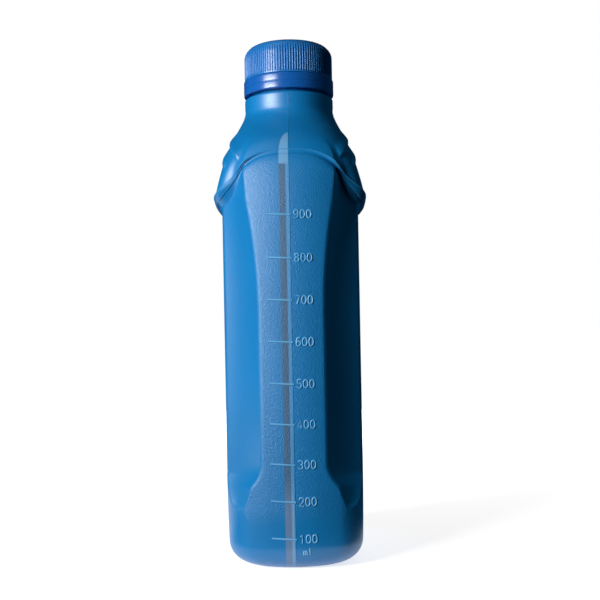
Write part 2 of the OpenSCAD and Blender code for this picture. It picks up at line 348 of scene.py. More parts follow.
    def lower_point(self, k: Points, z: Points) -> Points:
        """Body under the wings, with its flutes.

        Args:
            k: Columns of one quarter.
            z: Height of the point in each column.

        Returns:
            Array of [x, depth] for each column.
        """
        inset = self.low_inset(z)
        a, b = self.body_w / 2 - inset, self.half_depth(z) - inset
        front_edge, side_edge = self.panel_edge(z), self.label_edge(z)
        plain = self.outline(a, b, self.corner_r, self.column_angle(k, front_edge, side_edge))
        p = self.outline(a, b, self.corner_r, front_edge)
        q = self.outline(a, b, self.corner_r, side_edge)
        t = self.corner_part(k)
        chord = q - p
        length = np.linalg.norm(chord, axis=-1)
        inward = np.stack([chord[..., 1], -chord[..., 0]], axis=-1) / length[..., None]
        full_chord = math.hypot(self.body_w / 2 - self.panel_half_w, self.corner_r)
        hollow = self.flute_hollow * length / full_chord * 4 * t * (1 - t)
        cut = self.flute_cut(z)
        fluted = p + chord * t[..., None] + inward * hollow[..., None]
        inside = ((t > 0) & (t < 1))[..., None]
        return np.where(inside, mix(plain, fluted, cut[..., None]), plain)

    def flute_cut(self, z: Points) -> Points:
        """Share of its full depth that a flute has at height z."""
        return ease((z - self.flute_tip_z) / (self.flute_cut_share * self.flute_run))

    def tier_step(self, angle: Points, z: Points) -> Points:
        """How far the steps on the wing stand out.

        Args:
            angle: Angle of the outline's normal.
            z: Height of the point.

        Returns:
            The distance along the normal.
        """
        out = np.zeros(np.broadcast(angle, z).shape)
        for n in range(self.tiers):
            foot = self.tier_z - n * self.tier_gap - self.tier_drop * (1 - np.clip(angle / 90, 0, 1))
            side = ease((angle - self.tier_from - n * self.tier_turn) / self.tier_ramp)
            out += (self.tier * side * ease((z - foot + self.tier_edge / 2) / self.tier_edge)
                    * ease((foot + self.tier_run - z) / self.tier_run))
        return out

    def upper_point(self, k: Points, z: Points) -> Points:
        """Shoulder over the wings, turning into the round neck.

        Args:
            k: Columns of one quarter.
            z: Height of the point in each column.

        Returns:
            Array of [x, depth] for each column.
        """
        share = self.width_share(z)
        a = mix(self.wing_w / 2, self.neck_r, share)
        b = self.half_depth(z)
        corner = mix(self.corner_r + self.wing_corner_gain, self.neck_r, ease(share))
        r = np.minimum(corner, np.minimum(a, b))
        angle = mix(self.top_angle(k), 90 * k / self.quarter_cols, share)
        out = np.stack([sin_deg(angle), cos_deg(angle)], axis=-1)
        return self.outline(a, b, r, angle) + self.tier_step(angle, z)[..., None] * out

    def edge_z(self, k: Points) -> Points:
        """Height of the wing's edge over column k."""
        x = self.outline(self.body_w / 2, self.body_d / 2, self.corner_r, self.top_angle(k))[..., 0]
        return mix(self.wing_z, self.arch_z, 1 - np.minimum(x / (self.body_w / 2), 1) ** self.arch_power)

    def edge_drop(self, k: Points) -> Points:
        """Share of the arch's fall that column k has, from 0 at its middle to 1 over the label face."""
        return (self.edge_z(k) - self.arch_z) / (self.wing_z - self.arch_z)

    def edge_part(self, k: Points) -> Points:
        """Share of the way out to the shoulder that the arched edge itself has in column k."""
        return mix(self.edge_share, 1.0, ease((self.edge_drop(k) - self.edge_from) / self.edge_reach))

    def shoulder_point(self, k: Points, z: Points) -> Points:
        """Shoulder, drawn in towards the body's face where it nears the arched edge."""
        part = mix(self.edge_part(k), 1.0, ease((z - self.edge_z(k)) / self.edge_rise))
        return mix(self.lower_point(k, z), self.upper_point(k, z), part[..., None])

    def ledge_at(self, k: Points) -> Points:
        """Height of the sloping underside of the wing's edge in column k."""
        return self.ledge_h * mix(self.ledge_front_share, 1.0, self.edge_drop(k))

    def ledge_point(self, k: Points, t: Points) -> Points:
        """Underside of the wing and the cove over the panel.

        Args:
            k: Columns of one quarter.
            t: Share of the way up the ledge.

        Returns:
            Array of [x, depth] for each column.
        """
        z = self.edge_z(k) - self.ledge_at(k) * (1 - t)
        angle = self.top_angle(k)
        across = mix(self.cove_mid_share, 1.0, self.panel_part(k) ** 2) * (1 - ease(2 * self.corner_part(k)))
        depth = self.cove * sin_deg(180 * t) * across
        out = np.stack([sin_deg(angle), cos_deg(angle)], axis=-1)
        part = self.edge_part(k) * ease(t)
        return mix(self.lower_point(k, z), self.upper_point(k, z), part[..., None]) - depth[..., None] * out

    def row(self, zone: Zone, t: float, k: Points) -> Points:
        """One row of the shell over the columns k of a quarter.

        Args:
            zone: Stretch of the shell.
            t: Share of the way along that stretch.
            k: Columns, whole or fractional, in one quarter.

        Returns:
            Array of [x, depth, z] for each column.
        """
        share = np.full_like(k, t)
        if zone is Zone.BASE:
            ring = self.lower_point(k, np.zeros_like(k))
            inner = 1 - self.foot_w / np.linalg.norm(ring, axis=-1, keepdims=True)
            flat = ring * share[..., None] * inner
            return np.concatenate([flat, self.push_up * (1 - ease(share))[..., None]], axis=-1)
        if zone is Zone.EDGE:
            z = self.base_r * (1 - cos_deg(90 * share))
            flat = self.lower_point(k, z)
        elif zone is Zone.LOW:
            z = mix(self.base_r, self.full_z, share)
            flat = self.lower_point(k, z)
        elif zone is Zone.BODY:
            z = mix(self.full_z, self.edge_z(k) - self.ledge_at(k), share)
            flat = self.lower_point(k, z)
        elif zone is Zone.LEDGE:
            z = self.edge_z(k) - self.ledge_at(k) * (1 - share)
            flat = self.ledge_point(k, share)
        else:
            z = mix(self.edge_z(k), self.neck_z, share)
            flat = self.shoulder_point(k, z)
        return np.concatenate([flat, z[..., None]], axis=-1)

    def face_depth(self, x: Points, z: Points) -> Points:
        """Depth of the scale panel's surface under the shoulder.

        Args:
            x: Distance from the middle of the face.
            z: Height of the point.

        Returns:
            The distance of the surface from the bottle's axis.
        """
        inset = self.low_inset(z)
        a, b = self.body_w / 2 - inset, self.half_depth(z) - inset
        front, _ = self.spans(a, b, self.corner_r)
        front_r = front + self.corner_r
        return b - front_r + np.sqrt(front_r**2 - x**2)


FORM = BottleForm()


@dataclass(frozen=True)
class ClosureForm:
    """Sizes of the cap, its thread and the tamper band, in millimetres."""

    band_gap: float = 1.6
    band_h: float = 7.5
    band_proud: float = 0.5
    clear: float = 0.3
    thread_room: float = 1.55
    wall: float = 1.5
    roof: float = 2.0
    edge_r: float = 5.5
    rib_count: int = 108
    rib_h: float = 0.35
    liner_t: float = 1.0
    liner_clear: float = 0.1
    liner_over: float = 0.2
    bead_share: float = 0.45
    lead: float = 4.2

    @property
    def band_z(self) -> float:
        """Height of the foot of the tamper band."""
        return FORM.collar_z + self.band_gap

    @property
    def cap_z(self) -> float:
        """Height of the foot of the cap."""
        return self.band_z + self.band_h + self.clear

    @property
    def roof_z(self) -> float:
        """Height of the cap's inner face."""
        return FORM.mouth_z + self.liner_t + 2 * self.liner_clear

    @property
    def top_z(self) -> float:
        """Height of the top of the cap."""
        return self.roof_z + self.roof

    @property
    def bore_r(self) -> float:
        """Inner radius of the skirt."""
        return FORM.finish_r + self.thread_room

    @property
    def skirt_r(self) -> float:
        """Outer radius of the skirt between the ribs."""
        return self.bore_r + self.wall

    @property
    def band_r(self) -> float:
        """Outer radius of the tamper band."""
        return self.skirt_r + self.rib_h + self.band_proud

    @property
    def seat_r(self) -> float:
        """Radius of the liner's seat in the roof of the cap."""
        return FORM.finish_r + self.liner_over + self.clear

    @property
    def bead_z(self) -> float:
        """Height of the foot of the bead that holds the band."""
        return self.band_z + self.bead_share * self.band_h

    @property
    def bead_r(self) -> float:
        """Radius of that bead."""
        return self.band_r - self.wall - self.clear


CLOSURE = ClosureForm()


class Shader:
    """Short way to add and link the nodes of one material."""

    def __init__(self, name: str) -> None:
        """Starts an empty material with a Principled shader wired to its output.

        Args:
            name: Name of the material.
        """
        self.material = bpy.data.materials.new(name)
        self.material.use_nodes = True
        self.tree = self.material.node_tree
        self.tree.nodes.clear()
        self.output = self.tree.nodes.new("ShaderNodeOutputMaterial")
        self.principled = self.tree.nodes.new("ShaderNodeBsdfPrincipled")
        self.link(self.principled.outputs[0], self.output.inputs["Surface"])
        self.coords = self.tree.nodes.new("ShaderNodeTexCoord").outputs["Object"]

    def link(self, source: bpy.types.NodeSocket, target: bpy.types.NodeSocket) -> None:
        """Links one socket to another."""
        self.tree.links.new(source, target)

    def feed(self, target: bpy.types.NodeSocket, value: object) -> None:
        """Links or sets a socket, whichever the value needs.

        Args:
            target: Input socket.
            value: Output socket to link, or the number or colour to set.
        """
        if isinstance(value, bpy.types.NodeSocket):
            self.link(value, target)
        else:
            target.default_value = value

    def math(self, operation: str, *values: object) -> bpy.types.NodeSocket:
        """Adds a Math node.

        Args:
            operation: The node's operation.
            values: Numbers or sockets for its inputs.

        Returns:
            The node's output.
        """
        node = self.tree.nodes.new("ShaderNodeMath")
        node.operation = operation
        for socket, value in zip(node.inputs, values, strict=False):
            self.feed(socket, value)
        return node.outputs[0]

    def attribute(self, name: str) -> bpy.types.NodeSocket:
        """Reads a number that the mesh holds at each point.

        Args:
            name: Name of the mesh's attribute.

        Returns:
            The socket with that number.
        """
        node = self.tree.nodes.new("ShaderNodeAttribute")
        node.attribute_name = name
        return node.outputs["Fac"]

    def step(self, value: object, low: object, high: object) -> bpy.types.NodeSocket:
        """Adds a smooth Map Range node.

        Args:
            value: Number or socket that is mapped.
            low: Value that gives 0.
            high: Value that gives 1.

        Returns:
            The node's result.
        """
        node = self.tree.nodes.new("ShaderNodeMapRange")
        node.interpolation_type = "SMOOTHSTEP"
        for name, entry in (("Value", value), ("From Min", low), ("From Max", high)):
            self.feed(node.inputs[name], entry)
        return node.outputs["Result"]

    def noise(self, scale: float, detail: float, stretch: Colour = (1, 1, 1)) -> bpy.types.NodeSocket:
        """Adds a Noise texture on Object coordinates.

        Args:
            scale: Cells to the metre.
            detail: Octaves of finer noise.
            stretch: Scale along each axis, for streaks.

        Returns:
            The noise's factor.
        """
        mapping = self.tree.nodes.new("ShaderNodeMapping")
        mapping.inputs["Scale"].default_value = stretch
        self.link(self.coords, mapping.inputs["Vector"])
        node = self.tree.nodes.new("ShaderNodeTexNoise")
        node.inputs["Scale"].default_value = scale
        node.inputs["Detail"].default_value = detail
        self.link(mapping.outputs[0], node.inputs["Vector"])
        return node.outputs["Fac"]

    def blend(self, factor: object, low: object, high: object) -> bpy.types.NodeSocket:
        """Adds a Mix node for colours.

        Args:
            factor: Number or socket between 0 and 1.
            low: Colour or socket at 0.
            high: Colour or socket at 1.

        Returns:
            The mixed colour's socket.
        """
        node = self.tree.nodes.new("ShaderNodeMix")
        node.data_type = "RGBA"
        self.feed(node.inputs["Factor"], factor)
        for name, value in (("A", low), ("B", high)):
            socket = next(s for s in node.inputs if s.name == name and s.type == "RGBA")
            self.feed(socket, (*value, 1.0) if isinstance(value, tuple) else value)
        return next(s for s in node.outputs if s.type == "RGBA")

    def bump(self, height: object, distance: float, strength: float = 1.0,
             under: bpy.types.NodeSocket | None = None) -> bpy.types.NodeSocket:
        """Adds a Bump node.

        Args:
            height: Height between 0 and 1.
            distance: Depth of the bump in metres.
            strength: Share of that depth.
            under: Normal of another Bump node to start from.

        Returns:
            The bumped normal.
        """
        node = self.tree.nodes.new("ShaderNodeBump")
        node.inputs["Distance"].default_value = distance
        node.inputs["Strength"].default_value = strength
        self.feed(node.inputs["Height"], height)
        if under is not None:
            self.link(under, node.inputs["Normal"])
        return node.outputs[0]

    def xyz(self) -> tuple[bpy.types.NodeSocket, ...]:
        """Splits the Object coordinates.

        Returns:
            The sockets of X, Y and Z.
        """
        node = self.tree.nodes.new("ShaderNodeSeparateXYZ")
        self.link(self.coords, node.inputs[0])
        return tuple(node.outputs)


@dataclass(frozen=True)
class ShellFinish:
    """Blue blown polyethylene with its see-through strip, grained on the panels and smooth elsewhere."""

    PANEL = "panel"

    deep: Colour = (0.002, 0.195, 0.5)
    pale: Colour = (0.003, 0.22, 0.56)
    strip_wet: Colour = (0.05, 0.14, 0.27)
    strip_dry: Colour = (0.17, 0.43, 0.74)
    beside: Colour = (0.085, 0.33, 0.66)
    strip_x: tuple[float, float] = (-4.6, -1.6)
    seam_x: float = -0.3
    tip_z: float = 202.5
    blade_h: float = 11.0
    strip_low: Colour = (0.15, 0.25, 0.43)
    beside_low: Colour = (0.2, 0.42, 0.68)
    low_z: tuple[float, float] = (24.0, 48.0)
    smooth_rough: float = 0.38
    panel_rough: float = 0.44
    specular: float = 0.75
    ior: float = 1.5
    grain: float = 0.0003
    cloud_scale: float = 22.0
    streak_scale: float = 60.0
    streak_stretch: Colour = (1.0, 1.0, 0.08)
    tone_span: tuple[float, float] = (0.35, 0.65)
    face_y: tuple[float, float] = (-19.5, -20.5)
    blade_soft: float = 0.15
    seam_soft: float = 0.1
    strip_soft: float = 0.3
    level_soft: tuple[float, float] = (1.0, 0.8)
    foot_z: float = 6.0
    strip_share: float = 0.95
    fine_scale: float = 1500.0
    fine_share: float = 0.6
    cell_scale: float = 2800.0
    patch_scale: float = 700.0
    patch_spread: float = 0.1
    smooth_share: float = 0.05
    wave_scale: float = 18.0
    wave: float = 0.0003
    wave_strength: float = 0.4

    def blade(self, s: Shader, x: object, z: object) -> bpy.types.NodeSocket:
        """Masks the strip's left side, vertical and then curved in to its tip like a blade.

        Args:
            s: Shader that takes the nodes.
            x: Socket of the X coordinate.
            z: Socket of the height.

        Returns:
            The mask's socket.
        """
        soft = self.blade_soft * MM
        over = s.math("MAXIMUM", s.math("SUBTRACT", z, (self.tip_z - self.blade_h) * MM), 0.0)
        rise = s.math("MINIMUM", s.math("DIVIDE", over, self.blade_h * MM), 1.0)
        half = s.math("SQRT", s.math("SUBTRACT", 1.0, s.math("MULTIPLY", rise, rise)))
        edge = s.math("MULTIPLY", half, self.strip_x[0] * MM)
        return s.step(x, s.math("SUBTRACT", edge, soft), s.math("ADD", edge, soft))

    def colour(self, s: Shader) -> bpy.types.NodeSocket:
        """Colours the shell, with the strip on the scale face only.

        Args:
            s: Shader that takes the nodes.

        Returns:
            The colour's socket.
        """
        x, y, z = s.xyz()
        streak = s.math("MULTIPLY", s.noise(self.streak_scale, 2, self.streak_stretch), 0.5)
        tone = s.math("MULTIPLY_ADD", s.noise(self.cloud_scale, 3), 0.5, streak)
        shell = s.blend(s.step(tone, *self.tone_span), self.deep, self.pale)
        front = s.step(y, self.face_y[0] * MM, self.face_y[1] * MM)
        inside = s.math("MULTIPLY", self.blade(s, x, z), front)
        seam, right = self.seam_x, self.strip_x[1]
        to_seam = s.step(x, (seam + self.seam_soft) * MM, (seam - self.seam_soft) * MM)
        to_strip = s.step(x, (right + self.strip_soft) * MM, (right - self.strip_soft) * MM)
        over, under = self.level_soft
        wet = s.step(z, (FORM.fluid_z + over) * MM, (FORM.fluid_z - under) * MM)
        low = s.step(z, self.low_z[1] * MM, self.low_z[0] * MM)
        band = s.blend(wet, self.strip_dry, s.blend(low, self.beside, self.beside_low))
        core = s.blend(wet, self.strip_dry, s.blend(low, self.strip_wet, self.strip_low))
        strip = s.blend(to_strip, band, core)
        mask = s.math("MULTIPLY", s.math("MULTIPLY", inside, to_seam), s.step(z, 0.0, self.foot_z * MM))
        return s.blend(s.math("MULTIPLY", mask, self.strip_share), shell, strip)

    def build(self) -> bpy.types.Material:
        """Makes the shell's material.

        Returns:
            The material, which reads the mesh's panel attribute.
        """
        s = Shader("blown_shell_blue")
        s.feed(s.principled.inputs["Base Color"], self.colour(s))
        panel = s.attribute(self.PANEL)
        fine = s.noise(self.fine_scale, 2)
        cells = s.noise(self.cell_scale, 1)
        rough = s.math("MULTIPLY_ADD", panel, self.panel_rough - self.smooth_rough, self.smooth_rough)
        patch = s.math("SUBTRACT", s.noise(self.patch_scale, 2), 0.5)
        rough = s.math("ADD", rough, s.math("MULTIPLY", patch, self.patch_spread))
        s.feed(s.principled.inputs["Roughness"], rough)
        s.principled.inputs["IOR"].default_value = self.ior
        s.principled.inputs["Specular IOR Level"].default_value = self.specular
        depth = s.math("MULTIPLY_ADD", panel, 1.0 - self.smooth_share, self.smooth_share)
        cells = s.math("MULTIPLY", cells, 1.0 - self.fine_share)
        grain = s.math("MULTIPLY", s.math("MULTIPLY_ADD", fine, self.fine_share, cells), depth)
        soft = s.bump(s.noise(self.wave_scale, 1), self.wave, self.wave_strength)
        s.feed(s.principled.inputs["Normal"], s.bump(grain, self.grain, 1.0, soft))
        return s.material


@dataclass(frozen=True)
class MouldedFinish:
    """Moulded plastic for the closure: smooth with a faint flow in colour."""

    name: str
    deep: Colour
    pale: Colour
    roughness: float = 0.26
    wave: float = 0.00003
    ior: float = 1.5
    flow_scale: float = 70.0
    flow_stretch: Colour = (1.0, 1.0, 0.4)
    flow_span: tuple[float, float] = (0.3, 0.7)
    fine_scale: float = 900.0
    rough_spread: float = 0.1

    def build(self) -> bpy.types.Material:
        """Makes the material.

        Returns:
            The material under the finish's name.
        """
        s = Shader(self.name)
        flow = s.step(s.noise(self.flow_scale, 3, self.flow_stretch), *self.flow_span)
        fine = s.noise(self.fine_scale, 2)
        low_rough = self.roughness - self.rough_spread / 2
        s.feed(s.principled.inputs["Base Color"], s.blend(flow, self.deep, self.pale))
        s.feed(s.principled.inputs["Roughness"], s.math("MULTIPLY_ADD", fine, self.rough_spread, low_rough))
        s.principled.inputs["IOR"].default_value = self.ior
        s.feed(s.principled.inputs["Normal"], s.bump(fine, self.wave))
        return s.material


@dataclass(frozen=True)
class Finishes:
    """Every finish of the bottle, made once."""

    shell: bpy.types.Material = field(default_factory=lambda: ShellFinish().build())
    # Ticks and figures are painted much paler than the shell: a painted highlight where their raised tops catch
    # the lamp.
    raised: bpy.types.Material = field(default_factory=lambda: MouldedFinish(
        "scale_blue_painted_highlight", (0.11, 0.43, 0.76), (0.19, 0.53, 0.86), 0.3).build())
    # Rim beads are painted paler than the shell: a painted highlight along the arched edge under the shoulder.
    rim: bpy.types.Material = field(default_factory=lambda: MouldedFinish(
        "rim_bead_painted_highlight", (0.03, 0.29, 0.62), (0.05, 0.34, 0.7), 0.25).build())
    # Mould seams are painted a little paler than the shell: a painted highlight along the raised seam.
    seam: bpy.types.Material = field(default_factory=lambda: MouldedFinish(
        "mould_seam_painted_highlight", (0.015, 0.24, 0.56), (0.03, 0.3, 0.64), 0.3).build())
    cap: bpy.types.Material = field(default_factory=lambda: MouldedFinish(
        "moulded_cap_blue", (0.016, 0.18, 0.53), (0.024, 0.215, 0.6)).build())
    band: bpy.types.Material = field(default_factory=lambda: MouldedFinish(
        "moulded_band_blue", (0.006, 0.105, 0.42), (0.01, 0.13, 0.48), 0.24).build())
    liner: bpy.types.Material = field(default_factory=lambda: MouldedFinish(
        "foamed_liner_white", (0.74, 0.72, 0.66), (0.84, 0.82, 0.77), 0.6, 0.0001).build())
    fluid: bpy.types.Material = field(default_factory=lambda: MouldedFinish(
        "red_oil", (0.2, 0.008, 0.012), (0.26, 0.012, 0.016), 0.06, 0.0).build())


class SweepTree:
    """Geometry Nodes tree that sweeps a round bead along curves and can copy it round Z."""

    THICK = "Thickness"
    SIDES = "Sides"
    COPIES = "Copies"
    FINISH = "Finish"

    def __init__(self, name: str) -> None:
        """Builds the tree with its named inputs.

        Args:
            name: Name of the tree.
        """
        self.tree = bpy.data.node_groups.new(name, "GeometryNodeTree")
        face = self.tree.interface
        face.new_socket("Geometry", in_out="INPUT", socket_type="NodeSocketGeometry")
        for label, kind in ((self.THICK, "NodeSocketFloat"), (self.SIDES, "NodeSocketInt"),
                            (self.COPIES, "NodeSocketInt"), (self.FINISH, "NodeSocketMaterial")):
            face.new_socket(label, in_out="INPUT", socket_type=kind)
        face.new_socket("Geometry", in_out="OUTPUT", socket_type="NodeSocketGeometry")
        nodes, links = self.tree.nodes, self.tree.links
        entry, leave = nodes.new("NodeGroupInput"), nodes.new("NodeGroupOutput")
        profile = nodes.new("GeometryNodeCurvePrimitiveCircle")
        links.new(entry.outputs[self.SIDES], profile.inputs["Resolution"])
        links.new(entry.outputs[self.THICK], profile.inputs["Radius"])
        sweep = nodes.new("GeometryNodeCurveToMesh")
        sweep.inputs["Fill Caps"].default_value = True
        radius = nodes.new("GeometryNodeInputRadius")
        links.new(entry.outputs["Geometry"], sweep.inputs["Curve"])
        links.new(profile.outputs["Curve"], sweep.inputs["Profile Curve"])
        links.new(radius.outputs[0], sweep.inputs["Scale"])
        around = nodes.new("GeometryNodeMeshLine")
        around.inputs["Offset"].default_value = (0, 0, 0)
        links.new(entry.outputs[self.COPIES], around.inputs["Count"])
        step = nodes.new("ShaderNodeMath")
        step.operation = "DIVIDE"
        step.inputs[0].default_value = math.tau
        links.new(entry.outputs[self.COPIES], step.inputs[1])
        turn = nodes.new("ShaderNodeMath")
        turn.operation = "MULTIPLY"
        links.new(nodes.new("GeometryNodeInputIndex").outputs[0], turn.inputs[0])
        links.new(step.outputs[0], turn.inputs[1])
        spin = nodes.new("ShaderNodeCombineXYZ")
        links.new(turn.outputs[0], spin.inputs["Z"])
        copies = nodes.new("GeometryNodeInstanceOnPoints")
        links.new(around.outputs[0], copies.inputs["Points"])
        links.new(sweep.outputs[0], copies.inputs["Instance"])
        links.new(spin.outputs[0], copies.inputs["Rotation"])
        real = nodes.new("GeometryNodeRealizeInstances")
        links.new(copies.outputs[0], real.inputs[0])
        smooth = nodes.new("GeometryNodeSetShadeSmooth")
        links.new(real.outputs[0], smooth.inputs["Geometry"])
        paint = nodes.new("GeometryNodeSetMaterial")
        links.new(smooth.outputs[0], paint.inputs["Geometry"])
        links.new(entry.outputs[self.FINISH], paint.inputs["Material"])
        links.new(paint.outputs[0], leave.inputs[0])

    def identifier(self, name: str) -> str:
        """Identifier of the named input."""
        return next(i.identifier for i in self.tree.interface.items_tree
                    if i.item_type == "SOCKET" and i.in_out == "INPUT" and i.name == name)

    def sweep(self, name: str, strokes: list[list[tuple[float, ...]]], thickness: float,
              finish: bpy.types.Material, sides: int = 8, copies: int = 1) -> bpy.types.Object:
        """Sweeps a bead along strokes and returns the plain mesh.

        Args:
            name: Name of the piece.
            strokes: Lists of points (x, y, z) or (x, y, z, radius share), in millimetres.
            thickness: Radius of the bead in millimetres.
            finish: Material of the piece.
            sides: Sides of the bead.
            copies: Copies round the Z axis.

        Returns:
            The finished object.
        """
        curve = bpy.data.curves.new(name + "_path", "CURVE")
        curve.dimensions = "3D"
        for stroke in strokes:
            spline = curve.splines.new("POLY")
            spline.points.add(len(stroke) - 1)
            for point, place in zip(spline.points, stroke, strict=True):
                point.co = (*(c * MM for c in place[:3]), 1.0)
                point.radius = place[3] if len(place) > 3 else 1.0
        holder = bpy.data.objects.new(name + "_path", curve)
        bpy.context.scene.collection.objects.link(holder)
        modifier = holder.modifiers.new("sweep", "NODES")
        modifier.node_group = self.tree
        modifier[self.identifier(self.THICK)] = thickness * MM
        modifier[self.identifier(self.SIDES)] = sides
        modifier[self.identifier(self.COPIES)] = copies
        modifier[self.identifier(self.FINISH)] = finish
        bpy.context.view_layer.update()
        evaluated = holder.evaluated_get(bpy.context.evaluated_depsgraph_get())
        mesh = bpy.data.meshes.new_from_object(evaluated)
        bpy.data.objects.remove(holder)
        return place_mesh(name, mesh, finish)


def place_mesh(name: str, mesh: bpy.types.Mesh, finish: bpy.types.Material) -> bpy.types.Object:
    """Links a mesh as a finished piece at the origin, in one material.

    Args:
        name: Name of the piece and its mesh.
        mesh: Mesh that already stands in its place.
        finish: Material of the piece.

    Returns:
        The new object.
    """
    mesh.name = name
    mesh.materials.clear()
    mesh.materials.append(finish)
    piece = bpy.data.objects.new(name, mesh)
    bpy.context.scene.collection.objects.link(piece)
    return piece


def closed_rows(name: str, rows: Points, finish: bpy.types.Material, ring: bool = False,
                marks: dict[str, Points] | None = None) -> bpy.types.Object:
    """Makes a closed mesh from rows of points that run from one pole or end to the other.

    Args:
        name: Name of the piece.
        rows: Array of rows by columns by three, in millimetres, anticlockwise seen from above
            as the outside is climbed.
        finish: Material of the piece.
        ring: True if the last row joins the first, as on a turned ring.
        marks: Numbers that the mesh holds for its material, one for each point.

    Returns:
        The finished object.
    """
    count, across = rows.shape[:2]
    vertices = (rows.reshape(-1, 3) * MM).tolist()
    faces = []
    for j in range(count if ring else count - 1):
        below, above = j * across, (j + 1) % count * across
        faces += [(below + i, below + (i + 1) % across, above + (i + 1) % across, above + i)
                  for i in range(across)]
    if not ring:
        faces.append(tuple(reversed(range(across))))
        faces.append(tuple((count - 1) * across + i for i in range(across)))
    mesh = bpy.data.meshes.new(name)
    mesh.from_pydata(vertices, [], faces)
    mesh.polygons.foreach_set("use_smooth", [True] * len(mesh.polygons))
    mesh.update()
    for label, values in (marks or {}).items():
        layer = mesh.attributes.new(label, "FLOAT", "POINT")
        layer.data.foreach_set("value", values.astype(np.float32).ravel())
    return place_mesh(name, mesh, finish)


def turned(name: str, profile: list[tuple[float, float]], finish: bpy.types.Material,
           ring: bool = False, across: int = 192) -> bpy.types.Object:
    """Turns a profile round Z into a closed mesh.

    Args:
        name: Name of the piece.
        profile: Points of (radius, height) in millimetres.
        finish: Material of the piece.
        ring: True if the profile is closed, as on a ring.
        across: Steps round the axis.

    Returns:
        The finished object.
    """
    angles = np.arange(across) * math.tau / across
    rows = np.array([[(r * math.cos(a), r * math.sin(a), z) for a in angles] for r, z in profile])
    return closed_rows(name, rows, finish, ring)


def arc(centre: tuple[float, float], radius: float, start: float, end: float,
        steps: int) -> list[tuple[float, float]]:
    """Points of an arc from one angle to another, in degrees."""
    angles = [math.radians(mix(start, end, i / steps)) for i in range(steps + 1)]
    return [(centre[0] + radius * math.cos(a), centre[1] + radius * math.sin(a)) for a in angles]


def soften(profile: list[tuple[float, float]], radius: float, steps: int = 3,
           most: float = 0.45) -> list[tuple[float, float]]:
    """Rounds each corner of a closed profile with a short curve.

    Args:
        profile: Corners of (radius, height) in millimetres.
        radius: How far each curve reaches from its corner.
        steps: Pieces of each curve.
        most: Largest share of a side that a curve may take.

    Returns:
        The points of the rounded profile.
    """
    out: list[tuple[float, float]] = []
    for i, corner in enumerate(profile):
        here = Vector(corner)
        before, after = Vector(profile[i - 1]) - here, Vector(profile[(i + 1) % len(profile)]) - here
        reach = min(radius, before.length * most, after.length * most)
        a, b = here + before.normalized() * reach, here + after.normalized() * reach
        for n in range(steps + 1):
            t = n / steps
            out.append(tuple(a * (1 - t) ** 2 + here * 2 * t * (1 - t) + b * t**2))
    return out


